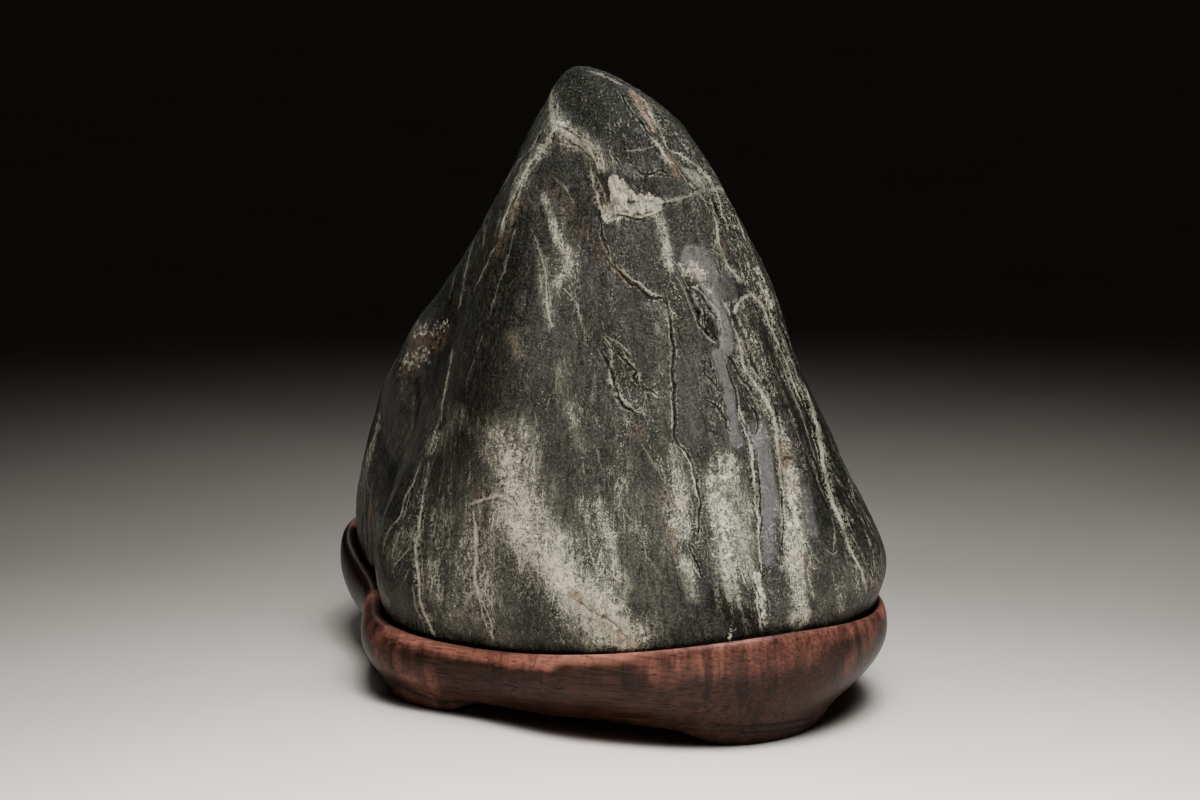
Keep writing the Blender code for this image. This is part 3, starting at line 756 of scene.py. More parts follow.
@dataclass(frozen=True)
class StoneFinish:
    """Worn dark stone: mottled grey, flecked and veined with pale mineral, polished where hands smooth it.

    Its colour also holds painted sheen on the polished strips, painted shade in its cracks, hollows and shadowed
    side, and painted highlights beside its cracks.

    After its colours come its patterns, the heights of its fine relief in millimetres, and the reaches of
    its lines: where each part of a line begins and ends, in half widths of the line.
    """

    dark: Colour = (0.0095, 0.0097, 0.0076)
    grey: Colour = (0.081, 0.0815, 0.0680)
    mist: Colour = (0.33, 0.342, 0.262)
    pale: Colour = (0.57, 0.58, 0.44)
    cream: Colour = (0.72, 0.685, 0.525)
    # painted sheen: a lighter colour that stands in for the highlight on the polished strips
    painted_sheen: Colour = (0.150, 0.147, 0.141)
    rust: Colour = (0.26, 0.155, 0.095)
    # near-black: painted shadow in the cracks and on the risers of the steps; also the fine dark crinkles
    crack: Colour = (0.005, 0.005, 0.004)
    tones: tuple[tuple[Tone, Colour], ...] = (
        (Tone.GREY, (0.33, 0.34, 0.265)),
        (Tone.CREAM, (0.52, 0.505, 0.39)),
        (Tone.GREEN, (0.335, 0.36, 0.27)),
        (Tone.PINK, (0.50, 0.35, 0.25)),
    )

    fine: Clouds = Clouds(2500.0, 1.0, 0.6)
    grit: Clouds = Clouds(1700.0, 2.0, 0.7)
    mottle: Clouds = Clouds(700.0, 3.0, 0.6)
    cloud: Clouds = Clouds(70.0, 5.0, 0.6)
    curl: Clouds = Clouds(300.0, 4.0, 0.62, 1.5)
    fading: Clouds = Clouds(240.0, 3.0, 0.6)
    streak: Clouds = Clouds(200.0, 5.0, 0.65, 0.5)
    wisp: Clouds = Clouds(700.0, 4.0, 0.65, 0.3)
    wrinkle: Clouds = Clouds(340.0, 4.0, 0.6, 1.2)
    ledge: Clouds = Clouds(75.0, 4.0, 0.55, 0.8)
    ledge_steps: float = 9.0
    thread: Clouds = Clouds(900.0, 3.0, 0.6, 0.3)

    grit_height: float = 0.42
    mottle_height: float = 0.48
    crinkle_height: float = -0.14
    streak_height: float = 0.45
    wisp_height: float = 0.20
    step_heights: Span = (0.20, 0.36)
    thread_height: float = 0.5
    speck_height: float = 0.05
    craze_height: float = 0.06
    crust_height: float = 0.06
    vein_height: float = 0.10
    crack_height: float = -0.30
    lip_height: float = 0.9

    line_wobble: float = 2.6
    core: Span = (0.35, 1.15)
    fringe: Span = (0.8, 4.5)
    # where the painted shade beside a vein begins and ends
    vein_shade_start: Span = (1.0, 1.8)
    vein_shade_end: Span = (2.0, 3.2)
    gash: Span = (0.2, 1.3)
    dip: Span = (0.0, 1.8)
    lip: Span = (-1.2, 1.2)
    # where the painted highlight on a crack's lips begins and ends
    lip_highlight_start: Span = (1.1, 2.7)
    lip_highlight_end: Span = (2.2, 3.6)

    shine: float = 1.45


class StoneSkin:
    """The stone's material in the making.

    Attributes:
        body: Its colour so far.
        height: Its relief so far, in millimetres.
    """

    body: Socket
    height: Socket

    def __init__(self, finish: StoneFinish) -> None:
        """Starts the material with the patterns of its finish and the grounds that the mesh carries."""
        bench = Bench("worn_dark_stone")
        place = bench.place()
        grain = bench.carried("grain", "Vector")
        self.finish = finish
        self.bench = bench
        self.cover = {ground: bench.carried(ground.value) for ground in Ground}
        self.fine = bench.noise(place, finish.fine)
        self.grit = bench.noise(place, finish.grit)
        self.mottle = bench.noise(place, finish.mottle)
        self.cloud = bench.noise(place, finish.cloud)
        self.streak = bench.noise(grain, finish.streak)
        self.wisp = bench.noise(grain, finish.wisp)
        self.wrinkle = bench.noise(grain, finish.wrinkle)
        self.thread = bench.noise(bench.carried("strand", "Vector"), finish.thread)
        self.curl = bench.noise(place, finish.curl)
        self.ledge = bench.times(bench.noise(grain, finish.ledge), finish.ledge_steps)
        self.fading = bench.noise(place, finish.fading)
        self.mix = bench.plus(bench.times(self.grit, 0.65), bench.times(self.mottle, 0.35))
        self.soft = bench.plus(
            bench.times(self.grit, 0.45), bench.times(self.fine, 0.30), bench.times(self.wisp, 0.25)
        )
        self.drift = bench.plus(
            bench.swing(self.streak, 1.5), bench.swing(self.wisp, 0.6), bench.swing(self.cloud, 1.0)
        )
        self.polish = bench.times(self.cover[Ground.SMOOTH], bench.band(self.mottle, 0.25, 0.55, 0.55, 0.9))
        self.worn = self.find_worn()
        self.crowd = self.find_crowd()
        self.speck = self.find_specks()
        self.crust = self.find_crust()
        self.craze = bench.seam(self.wrinkle, 0.0, 0.022)
        self.crazed = bench.times(self.craze, bench.band(self.crowd, 0.05, 0.7, 0.05, 0.85))
        self.crinkle = self.find_crinkle()
        self.calm = bench.band(self.polish, 0.0, 0.7, 1.0, 0.3)

    def find_worn(self) -> Socket:
        """How worn and pale the ground is: a pale cover drawn out in streaks."""
        pale = self.cover[Ground.PALE]
        drawn = self.bench.plus(self.drift, self.bench.times(pale, 0.5))
        return self.bench.times(pale, self.bench.band(drawn, -0.35, 0.75, 0.15, 1.15))

    def find_crowd(self) -> Socket:
        """How closely the pale specks lie."""
        bench = self.bench
        return bench.plus(
            bench.times(self.worn, 0.62),
            bench.band(self.streak, 0.46, 0.62, 0.0, 0.22),
            bench.band(self.cloud, 0.46, 0.60, 0.0, 0.12),
            bench.times(self.cover[Ground.ROUGH], 0.12),
            bench.times(self.cover[Ground.DARK], -0.28),
            bench.times(self.polish, -0.25),
        )

    def find_specks(self) -> Socket:
        """The pale specks, single where the crowd is thin."""
        bench = self.bench
        return bench.times(
            bench.band(bench.plus(self.fine, bench.times(self.crowd, 0.27)), 0.68, 0.80),
            bench.band(self.mottle, 0.35, 0.60, 0.45, 0.95),
            bench.band(self.crowd, 0.0, 0.5, 0.40, 1.0),
        )

    def find_crust(self) -> Socket:
        """The cream crust, with a ragged edge where its cover is thin."""
        bench = self.bench
        cream = self.cover[Ground.CREAM]
        loose = bench.maths("SUBTRACT", 1.15, cream)
        ragged = bench.plus(bench.times(self.drift, 0.6), bench.swing(self.mix, 2.0), bench.swing(self.mottle, 1.6))
        return bench.times(
            bench.band(bench.plus(cream, bench.times(ragged, loose)), 0.38, 0.70),
            bench.band(cream, 0.02, 0.25),
        )

    def find_crinkle(self) -> Socket:
        """The fine dark crinkles, thickest on rough ground."""
        bench = self.bench
        thick = bench.plus(self.cloud, bench.times(self.cover[Ground.ROUGH], 0.15))
        return bench.times(bench.seam(self.curl, 0.004, 0.024), bench.band(thick, 0.46, 0.58, 0.12, 0.85))

    def lay(self, share: Feed, colour: Feed) -> None:
        """Lays a share of a colour over what is there."""
        self.body = self.bench.blend(share, self.body, colour)

    def lay_dark_ground(self) -> None:
        """Lays the mottled dark stone, with its rough stretches, painted sheen on its polished stretches, and its
        dark stretches, partly painted shade.
        """
        bench, finish = self.bench, self.finish
        rough = self.cover[Ground.ROUGH]
        shade = self.cover[Ground.DARK]
        self.body = bench.blend(bench.band(self.soft, 0.40, 0.61, 0.10, 1.0), finish.dark, finish.grey)
        self.lay(bench.band(self.cloud, 0.36, 0.64, 0.50, 0.0), finish.dark)
        self.lay(bench.times(rough, bench.band(self.thread, 0.38, 0.56), 0.8), finish.dark)
        # painted sheen: the polished strips take a lighter colour in place of their highlight
        self.lay(bench.times(self.polish, 0.8), finish.painted_sheen)
        # dark ground, partly painted shade on the shadowed side and in hollows
        self.lay(bench.times(shade, bench.band(self.mix, 0.43, 0.57, 1.0, 0.62)), finish.dark)

    def lay_pale_ground(self) -> None:
        """Lays the pale grounds: a haze, the specks in it, and bright threads on rough ground."""
        bench, finish = self.bench, self.finish
        weave = bench.plus(bench.times(self.mix, 0.65), bench.times(self.thread, 0.35))
        self.lay(bench.times(self.worn, bench.band(weave, 0.40, 0.60, 0.20, 1.0)), finish.mist)
        self.lay(self.speck, finish.pale)
        bright = bench.times(
            self.cover[Ground.ROUGH], bench.band(self.thread, 0.55, 0.62), bench.band(self.mix, 0.44, 0.52)
        )
        self.lay(bench.times(bright, bench.band(self.cover[Ground.DARK], 0.0, 1.0, 0.65, 0.28)), finish.pale)

    def lay_crust(self) -> None:
        """Lays the cream crust and the fine lines that run through it and round it."""
        bench, finish = self.bench, self.finish
        facet = bench.times(
            bench.band(self.mottle, 0.42, 0.58, 0.55, 1.0),
            bench.band(self.wisp, 0.40, 0.54, 0.50, 1.0),
            bench.band(self.soft, 0.36, 0.56, 0.60, 1.0),
        )
        self.lay(bench.times(self.crust, facet), finish.cream)
        self.lay(bench.times(self.craze, self.crust, 0.75), finish.dark)
        self.lay(bench.times(self.crinkle, 0.8), finish.crack)
        self.lay(self.crazed, finish.cream)

    def raise_skin(self) -> None:
        """Raises the fine relief, calmer where the stone is polished, and paints shade on the risers of its steps.
        """
        bench, finish = self.bench, self.finish
        rough = self.cover[Ground.ROUGH]
        tread = bench.maths("FRACT", self.ledge)
        steps = bench.plus(bench.maths("FLOOR", self.ledge), bench.band(tread, 0.0, 0.10))
        self.height = bench.plus(
            bench.times(self.grit, self.calm, finish.grit_height),
            bench.times(self.mottle, self.calm, finish.mottle_height),
            bench.times(self.crinkle, self.calm, finish.crinkle_height),
            bench.times(self.streak, self.calm, finish.streak_height),
            bench.times(self.wisp, self.calm, finish.wisp_height),
            bench.times(steps, bench.band(rough, 0.0, 1.0, *finish.step_heights)),
            bench.times(rough, self.thread, finish.thread_height),
            bench.times(self.speck, finish.speck_height),
            bench.times(self.crazed, finish.craze_height),
            bench.times(self.crust, finish.crust_height),
        )
        # painted shade on the risers of the steps
        self.lay(bench.times(bench.band(tread, 0.0, 0.08, 0.45, 0.0), self.calm), finish.crack)

    def lay_lines(self, layers: int) -> None:
        """Lays the veins and the cracks, layer by layer.

        Args:
            layers: How many layers of lines the mesh carries.
        """
        bench, finish = self.bench, self.finish
        edge = bench.swing(self.mix, finish.line_wobble)
        fade = bench.band(self.fading, 0.36, 0.54, 0.40, 1.0)
        grainy = bench.times(
            bench.band(self.thread, 0.38, 0.50, 0.45, 1.0), bench.band(self.fine, 0.38, 0.50, 0.50, 1.0)
        )
        stops = tuple((tone.value, colour) for tone, colour in finish.tones)
        for layer in range(layers):
            across, strength, tone = bench.parts(bench.carried(f"line_{layer}", "Vector"))
            dark = bench.carried(f"dark_{layer}")
            away = bench.maths("ABSOLUTE", across)
            width = bench.plus(away, edge)
            light = bench.times(bench.maths("SUBTRACT", 1.0, dark), strength, fade)
            shown = self.lay_vein(width, light, grainy, bench.ramp(tone, stops))
            split = bench.times(strength, dark, bench.band(fade, 0.40, 1.0, 0.45, 1.0))
            self.lay_crack(width, away, split)
            dip = bench.times(bench.band(away, *finish.dip, 1.0, 0.0), split)
            lip = bench.times(bench.band(across, *finish.lip, -0.5, 0.5), tone, split)
            self.height = bench.plus(
                self.height,
                bench.times(dip, finish.crack_height),
                bench.times(lip, finish.lip_height),
                bench.times(shown, finish.vein_height),
            )

    def lay_vein(self, width: Socket, light: Socket, grainy: Socket, colour: Socket) -> Socket:
        """Lays a vein: a bright core, a broken fringe round it, and painted shade beside them as a dark rim.

        Args:
            width: How far the point lies from the middle of the line, in its half widths.
            light: How strong the vein is.
            grainy: How its core is broken up.
            colour: The colour of its mineral.

        Returns:
            Where the vein shows.
        """
        bench, finish = self.bench, self.finish
        core = bench.times(bench.band(width, *finish.core, 1.0, 0.0), light, grainy)
        fringe = bench.times(
            bench.band(width, *finish.fringe, 0.6, 0.0), light, bench.band(self.mix, 0.48, 0.56)
        )
        # painted shade: a dark rim beside the vein stands in for the shade of its relief
        rim = bench.times(
            bench.band(width, *finish.vein_shade_start), bench.band(width, *finish.vein_shade_end, 1.0, 0.0), light, 0.75
        )
        shown = bench.maths("MAXIMUM", core, fringe)
        self.lay(rim, finish.dark)
        self.lay(shown, colour)
        return shown

    def lay_crack(self, width: Socket, away: Socket, split: Socket) -> None:
        """Lays a crack: painted shadow in its gash, and a painted highlight on the stone beside it.

        Args:
            width: How far the point lies from the crack's ragged middle, in half widths.
            away: The same from its clean middle.
            split: How strong the crack is.
        """
        bench, finish = self.bench, self.finish
        # painted shadow: the gash is near-black in place of the shade inside the crack
        self.lay(bench.times(bench.band(width, *finish.gash, 1.0, 0.0), split, 0.9), finish.crack)
        # painted highlight: a paler band on the crack's lips stands in for the light they catch
        painted_lip_highlight = bench.times(
            bench.band(away, *finish.lip_highlight_start), bench.band(away, *finish.lip_highlight_end, 1.0, 0.0), split
        )
        self.lay(bench.times(painted_lip_highlight, bench.band(self.mix, 0.46, 0.56), 0.5), finish.pale)

    def lay_stains(self) -> None:
        """Lays the rust stains."""
        bench = self.bench
        spread = bench.plus(self.soft, bench.times(self.wrinkle, 0.4))
        self.lay(bench.times(self.cover[Ground.RUST], bench.band(spread, 0.62, 0.80)), self.finish.rust)

    def material(self, layers: int) -> bpy.types.Material:
        """Builds the stone's material.

        Args:
            layers: How many layers of lines the mesh carries.

        Returns:
            The material.
        """
        bench = self.bench
        self.lay_dark_ground()
        self.lay_pale_ground()
        self.lay_crust()
        self.raise_skin()
        self.lay_lines(layers)
        self.lay_stains()
        shade = self.cover[Ground.DARK]
        sheen = bench.plus(bench.band(self.polish, 0.0, 0.7, 0.20, 0.95), bench.times(shade, -0.15))
        gloss = bench.plus(
            bench.band(self.mix, 0.40, 0.60, 0.32, 0.46),
            bench.times(shade, 0.12),
            bench.times(self.speck, 0.10),
            bench.times(self.polish, -0.10),
            bench.times(self.cover[Ground.ROUGH], 0.08),
        )
        return bench.finish(
            Base_Color=self.body,
            Roughness=gloss,
            Normal=bench.relief(self.height),
            IOR=self.finish.shine,
            Specular_IOR_Level=sheen,
        )


@dataclass(frozen=True)
class WoodFinish:
    """Oiled dark hardwood: reddish brown, figured in dark bands, worn lighter along the rim, with painted
    reflection and painted shade.
    """

    grain_bearing: float = math.radians(38.0)
    deep: Colour = (0.008, 0.0042, 0.0030)
    brown: Colour = (0.019, 0.0088, 0.0062)
    red: Colour = (0.051, 0.0212, 0.0144)
    # worn wood's colour, laid for real wear and for painted reflection of the floor
    worn: Colour = (0.42, 0.165, 0.120)
    fibre: Clouds = Clouds(1500.0, 4.0, 0.65, pace=(0.05, 1.0, 1.0))
    figure: Clouds = Clouds(330.0, 4.0, 0.6, 0.4, pace=(0.12, 1.0, 0.6))
    curl: Clouds = Clouds(330.0, 3.0, 0.6, 0.2, pace=(1.0, 1.0, 0.10))
    cloud: Clouds = Clouds(60.0, 3.0, 0.5, pace=(1.0, 1.0, 0.4))
    pores: Clouds = Clouds(2000.0, 2.0, 0.5, pace=(0.10, 1.0, 1.0))
    blotch: Clouds = Clouds(280.0, 4.0, 0.6, pace=(1.0, 1.0, 0.3))
    fibre_height: float = 0.10
    pore_height: float = -0.12
    blotch_height: float = 0.16
    shine: float = 1.22

    def material(self) -> bpy.types.Material:
        """Builds the stand's material, its grain running level across the block."""
        bench = Bench("oiled_dark_hardwood")
        along = bench.turned(bench.place(), -self.grain_bearing)
        fibre = bench.noise(along, self.fibre)
        blotch = bench.noise(along, self.blotch)
        wear_and_painted_light = bench.carried("wear_and_painted_light")

        body = bench.blend(bench.band(fibre, 0.36, 0.64), self.brown, self.red)
        body = bench.blend(bench.band(bench.noise(along, self.figure), 0.46, 0.64, 0.0, 0.4), body, self.deep)
        patchy = bench.band(bench.noise(along, self.cloud), 0.38, 0.58, 0.35, 0.90)
        banded = bench.times(bench.band(bench.noise(along, self.curl), 0.47, 0.64), patchy)
        body = bench.blend(bench.times(banded, 0.8), body, self.deep)
        # painted shade: a negative value darkens the far left end of the stand
        body = bench.blend(bench.band(wear_and_painted_light, -1.0, 0.0, 0.85, 0.0), body, self.deep)
        # real wear along the rim, and painted reflection of the floor at the stand's ends
        wear_and_sheen = bench.times(
            bench.band(bench.plus(wear_and_painted_light, bench.swing(blotch, 0.9)), 0.12, 1.05),
            bench.band(fibre, 0.34, 0.60, 0.6, 1.0),
            bench.band(banded, 0.0, 0.8, 1.0, 0.55),
        )
        body = bench.blend(bench.times(wear_and_sheen, 0.80), body, self.worn)
        pitted = bench.band(bench.noise(along, self.pores), 0.62, 0.70)
        body = bench.blend(bench.times(pitted, 0.7), body, self.deep)
        # painted shade in the incised lines and at the inner lip
        body = bench.blend(bench.times(bench.carried("painted_recess_shade"), 0.75), body, self.deep)
        height = bench.plus(
            bench.times(fibre, self.fibre_height),
            bench.times(pitted, self.pore_height),
            bench.times(blotch, self.blotch_height),
        )
        gloss = bench.plus(bench.band(fibre, 0.3, 0.7, 0.28, 0.38), bench.times(wear_and_sheen, 0.10))
        return bench.finish(Base_Color=body, Roughness=gloss, Normal=bench.relief(height), IOR=self.shine)


@dataclass(frozen=True)
class FloorFinish:
    """A plain pale studio floor, faintly clouded."""

    light: Colour = (0.73, 0.675, 0.62)
    dim: Colour = (0.66, 0.61, 0.56)
    cloud: Clouds = Clouds(9.0, 3.0, 0.5)
    roughness: float = 0.85

    def material(self) -> bpy.types.Material:
        """Builds the floor's material."""
        bench = Bench("pale_studio_floor")
        clouded = bench.band(bench.noise(bench.place(), self.cloud), 0.3, 0.7)
        return bench.finish(Base_Color=bench.blend(clouded, self.dim, self.light), Roughness=self.roughness)


def start_piece(name: str, node: str) -> bpy.types.Object:
    """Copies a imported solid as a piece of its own, with its loose triangles joined and made four-sided.

    Args:
        name: The new piece's name.
        node: The solid that it starts from.

    Returns:
        The piece, alone selected.
    """
    bpy.ops.object.select_all(action="DESELECT")
    piece = bpy.data.objects.new(name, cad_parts[node].data.copy())
    piece.data.materials.clear()
    bpy.context.scene.collection.objects.link(piece)
    piece.select_set(True)
    bpy.context.view_layer.objects.active = piece
    bpy.ops.object.mode_set(mode="EDIT")
    bpy.ops.mesh.select_all(action="SELECT")
    bpy.ops.mesh.remove_doubles(threshold=0.01 * MM)
    bpy.ops.mesh.tris_convert_to_quads(face_threshold=math.radians(60), shape_threshold=math.radians(60))
    bpy.ops.mesh.normals_make_consistent(inside=False)
    bpy.ops.object.mode_set(mode="OBJECT")
    return piece


def refine(piece: bpy.types.Object, levels: int) -> None:
    """Rounds a piece by subdivision and keeps the result in its mesh."""
    rounding = piece.modifiers.new("rounding", "SUBSURF")
    rounding.levels = levels
    rounding.render_levels = levels
    bpy.ops.object.modifier_apply(modifier=rounding.name)
    bpy.ops.object.shade_smooth()


def read_points(mesh: bpy.types.Mesh) -> tuple[np.ndarray, np.ndarray]:
    """A mesh's points and their outward directions, one row each."""
    coords = np.empty(len(mesh.vertices) * 3)
    normals = np.empty(len(mesh.vertices) * 3)
    mesh.vertices.foreach_get("co", coords)
    mesh.vertex_normals.foreach_get("vector", normals)
    return coords.reshape(-1, 3), normals.reshape(-1, 3)


def move_points(mesh: bpy.types.Mesh, coords: np.ndarray) -> None:
    """Moves a mesh's points to new places, one row each."""
    mesh.vertices.foreach_set("co", coords.ravel())
    mesh.update()


def surface_of(mesh: bpy.types.Mesh) -> BVHTree:
    """A mesh's surface, on which the nearest points and the hits of rays can be found."""
    return BVHTree.FromPolygons([point.co for point in mesh.vertices], [face.vertices for face in mesh.polygons])


def carry(mesh: bpy.types.Mesh, name: str, values: np.ndarray) -> None:
    """Stores a number or a vector for each of a mesh's points."""
    if values.ndim == 1:
        mesh.attributes.new(name, "FLOAT", "POINT").data.foreach_set("value", values)
    else:
        mesh.attributes.new(name, "FLOAT_VECTOR", "POINT").data.foreach_set("vector", values.ravel())


def divide(piece: bpy.types.Object, courses: list[np.ndarray], reach: float, cuts: int) -> None:
    """Divides the faces beside some courses, so that fine relief comes out crisp there.

    Args:
        piece: The piece, which is the active object.
        courses: The courses on it.
        reach: How far from a course the divided faces start, in metres.
        cuts: How many cuts go across each face.
    """
    mesh = piece.data
    coords, normals = read_points(mesh)
    beside = np.zeros(len(coords), dtype=bool)
    for course in courses:
        beside[measure_course(coords, normals, course, reach)[0]] = True
    mesh.vertices.foreach_set("select", np.zeros(len(mesh.vertices), dtype=bool))
    mesh.edges.foreach_set("select", np.zeros(len(mesh.edges), dtype=bool))
    corners = np.empty(len(mesh.loops), dtype=np.int32)
    mesh.loops.foreach_get("vertex_index", corners)
    starts = np.empty(len(mesh.polygons), dtype=np.int32)
    mesh.polygons.foreach_get("loop_start", starts)
    mesh.polygons.foreach_set("select", np.logical_or.reduceat(beside[corners], starts))
    bpy.ops.object.mode_set(mode="EDIT")
    bpy.ops.mesh.select_mode(type="FACE")
    bpy.ops.mesh.subdivide(number_cuts=cuts, smoothness=0.0, ngon=False)
    bpy.ops.object.mode_set(mode="OBJECT")


def fractal(places: np.ndarray, pace: float, fading: float, layers: int) -> np.ndarray:
    """Reads a fractal noise.

    Args:
        places: Where it is read, one row each.
        pace: Its features per metre.
        fading: How fast its finer layers grow weaker.
        layers: How many layers it has, each twice as fine as the last.

    Returns:
        Its value at each place.
    """
    return np.array([noise.fractal(Vector(spot) * pace, fading, 2.0, layers) for spot in places])


@dataclass(frozen=True)
class Scatter:
    """Ranges that chance takes the courses of the far side from: degrees, metres, and a slant in radians."""

    count: int
    bearings: Span
    heights: Span
    lengths: Span
    slant: float


@dataclass(frozen=True)
class FarSide:
    """What chance lays on the side turned away, its widths and depths in millimetres."""

    lines: Scatter = Scatter(46, (74.0, 222.0), (0.035, 0.135), (0.012, 0.085), 0.45)
    grounds: Scatter = Scatter(22, (70.0, 230.0), (0.03, 0.125), (0.01, 0.05), 0.3)
    step: float = 4.0 * MM
    turn: float = 0.22
    drop: float = 0.85
    lowest: float = 12.0 * MM
    outside: float = 0.2
    crack_every: int = 3
    crack_width: float = 0.55
    crack_depths: Span = (0.4, 0.9)
    crack_lips: Span = (-0.5, 0.5)
    vein_tones: tuple[Tone, ...] = (Tone.GREY, Tone.GREY, Tone.CREAM, Tone.CREAM, Tone.GREEN)
    vein_widths: Span = (0.35, 0.95)
    vein_strengths: Span = (0.55, 1.0)
    patch_kinds: tuple[Ground, ...] = (
        Ground.PALE, Ground.PALE, Ground.PALE, Ground.CREAM, Ground.SMOOTH, Ground.ROUGH, Ground.ROUGH, Ground.RUST
    )
    small_kinds: tuple[Ground, ...] = (Ground.RUST, Ground.CREAM)
    small_widths: Span = (1.8, 3.2)
    large_widths: Span = (2.5, 7.0)
    patch_covers: Span = (0.45, 0.85)
    patch_softness: float = 0.7

    def line(self, chance: random.Random, number: int) -> Vein | Crack:
        """Picks the line of a number: every few are a crack, and the rest are veins."""
        if number % self.crack_every == self.crack_every - 1:
            return Crack(self.crack_width, chance.uniform(*self.crack_depths), (), chance.uniform(*self.crack_lips))
        tone = chance.choice(self.vein_tones)
        return Vein(tone, chance.uniform(*self.vein_widths), (), chance.uniform(*self.vein_strengths))


@dataclass(frozen=True)
class Flakes:
    """A flaked surface. The numbers are counted in flakes, and the level and the groove are its heights."""

    pace: float = 75.0
    bend_pace: float = 0.8
    bend: float = 0.35
    steepness: float = 5.0
    shuffle: float = 7.3
    level: float = 0.6
    groove: float = 0.5

    def height(self, spot: np.ndarray) -> float:
        """Its height at a place: each flake at its own level, with a groove where two meet."""
        place = Vector(spot) * self.pace
        bent = place + noise.noise_vector(place * self.bend_pace) * self.bend
        distances, points = noise.voronoi(bent)
        edge = min(1.0, (distances[1] - distances[0]) * self.steepness)
        return noise.cell(points[0] * self.shuffle) * self.level * edge - self.groove * (1.0 - edge)


@dataclass
class ViewingStone:
    """The stone: its fine relief, and the minerals that cross it.

    Lengths are in metres, and the heights of its relief are in millimetres. A height with two values has
    the one on plain ground first, and then what fully rough ground adds.
    """

    camera: StudioCamera
    levels: int = 2
    fine_reach: float = 0.88 * MM
    seed: int = 7

    far_side: FarSide = FarSide()

    # patterns drawn down from the summit, and how far they make a patch's edge waver
    pole_height: float = 35.0 * MM
    ring: float = 120.0 * MM
    fleck_stretch: float = 0.30
    thread_stretch: float = 0.07
    wobble_pace: float = 150.0
    patch_waver: float = 0.5
    patch_reach: float = 1.5

    # the painted shade where the stone enters the stand
    seat_gap: float = 0.4 * MM
    shade_reach: float = 3.0 * MM
    shade_waver: float = 0.6 * MM
    shade_height: float = 50.0 * MM
    shade_cover: float = 0.9

    # lines
    line_reach: float = 6.0 * MM
    line_gap: float = 5.8 * MM
    wavers: tuple[Span, ...] = ((330.0, 0.45), (900.0, 0.22))
    line_taper: float = 5.0 * MM
    line_tip: float = 0.4
    line_waver: float = 0.45
    line_end: float = 1.5 * MM
    line_shown: Span = (1.5 * MM, 2.3 * MM)
    far_across: float = 20.0

    # relief
    crack_reach: float = 9.0 * MM
    crack_core: float = 0.45 * MM
    crack_taper: float = 4.0 * MM
    crack_share: float = 0.5
    lip_reach: float = 2.0 * MM
    lip_share: float = 0.45
    swell_reach: float = 1.6
    swell_crest: float = 0.15
    wave_pace: float = 95.0
    wave_height: float = 0.26
    rib_pace: float = 230.0
    rib_heights: Span = (0.16, 0.20)
    scale_pace: float = 420.0
    scale_heights: Span = (0.05, 0.18)
    flakes: Flakes = Flakes()
    flake_heights: Span = (0.12, 0.22)
    polish_share: float = 0.8
    rim_height: float = 24.0 * MM
    clear_height: float = 34.0 * MM
    bed_heights: Span = (8.0 * MM, 16.0 * MM)

    # found while it is built
    coords: np.ndarray = field(init=False, repr=False)
    normals: np.ndarray = field(init=False, repr=False)
    wobble: np.ndarray = field(init=False, repr=False)
    apex: np.ndarray = field(init=False, repr=False)
    surface: BVHTree = field(init=False, repr=False)

    def build(self) -> bpy.types.Object:
        """Models the stone and gives the finished piece."""
        noise.seed_set(self.seed)
        piece = start_piece("viewing_stone", "stone")
        refine(piece, self.levels)
        mesh = piece.data
        coords, _ = read_points(mesh)
        self.apex = coords[coords[:, 2].argmax()]
        self.surface = surface_of(mesh)
        lines = self.lay_lines()
        divide(piece, [course for _, course in lines], self.fine_reach, 1)
        self.coords, self.normals = read_points(mesh)
        grain = self.drawn_down(self.fleck_stretch)
        self.wobble = fractal(grain, self.wobble_pace, 0.8, 3)
        carry(mesh, "grain", grain)
        carry(mesh, "strand", self.drawn_down(self.thread_stretch))
        grounds = self.carry_grounds(mesh)
        layers = self.carry_lines(mesh, lines)
        height = self.relief(lines, grounds, grain)
        move_points(mesh, self.coords + self.normals * height[:, None])
        mesh.materials.append(StoneSkin(StoneFinish()).material(layers))
        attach(piece, "root")
        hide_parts("stone")
        return piece

    def at_bearing(self, bearing: float, height: float) -> Vector | None:
        """The stone's surface at a bearing in degrees and a height, looked for from outside."""
        lean = height / self.apex[2]
        axis = Vector((self.apex[0] * lean, self.apex[1] * lean, height))
        outward = Vector((math.cos(math.radians(bearing)), math.sin(math.radians(bearing)), 0.0))
        return self.surface.ray_cast(axis + outward * self.far_side.outside, -outward)[0]

    def wander(self, chance: random.Random, scatter: Scatter) -> np.ndarray:
        """Draws a course that wanders down the far side of the stone.

        Args:
            chance: The source of its start and its turns.
            scatter: The ranges that its start is taken from.

        Returns:
            The course's points on the stone, one row each.
        """
        bearing = chance.uniform(*scatter.bearings)
        height = chance.uniform(*scatter.heights)
        length = chance.uniform(*scatter.lengths)
        slant = chance.gauss(0.0, scatter.slant)
        side = self.far_side
        middle = self.apex * 0.5
        points = []
        for _ in range(int(length / side.step)):
            spot = self.at_bearing(bearing, height)
            if spot is None or height < side.lowest:
                break
            points.append(tuple(spot))
            slant += chance.uniform(-side.turn, side.turn)
            radius = max(side.lowest, math.hypot(spot.x - middle[0], spot.y - middle[1]))
            bearing += math.degrees(side.step * math.sin(slant) / radius)
            height -= side.step * math.cos(slant) * side.drop
        return np.array(points)

    def lay_lines(self) -> list[Line]:
        """Lays every vein and crack on the stone, those of the far side by seeded chance."""
        laid = [(line, self.ragged(self.camera.lay(line.course, self.surface))) for line in (*VEINS, *CRACKS)]
        chance = random.Random(self.seed)
        for number in range(self.far_side.lines.count):
            course = self.wander(chance, self.far_side.lines)
            laid.append((self.far_side.line(chance, number), self.ragged(course)))
        return [(line, course) for line, course in laid if len(course) > 1]

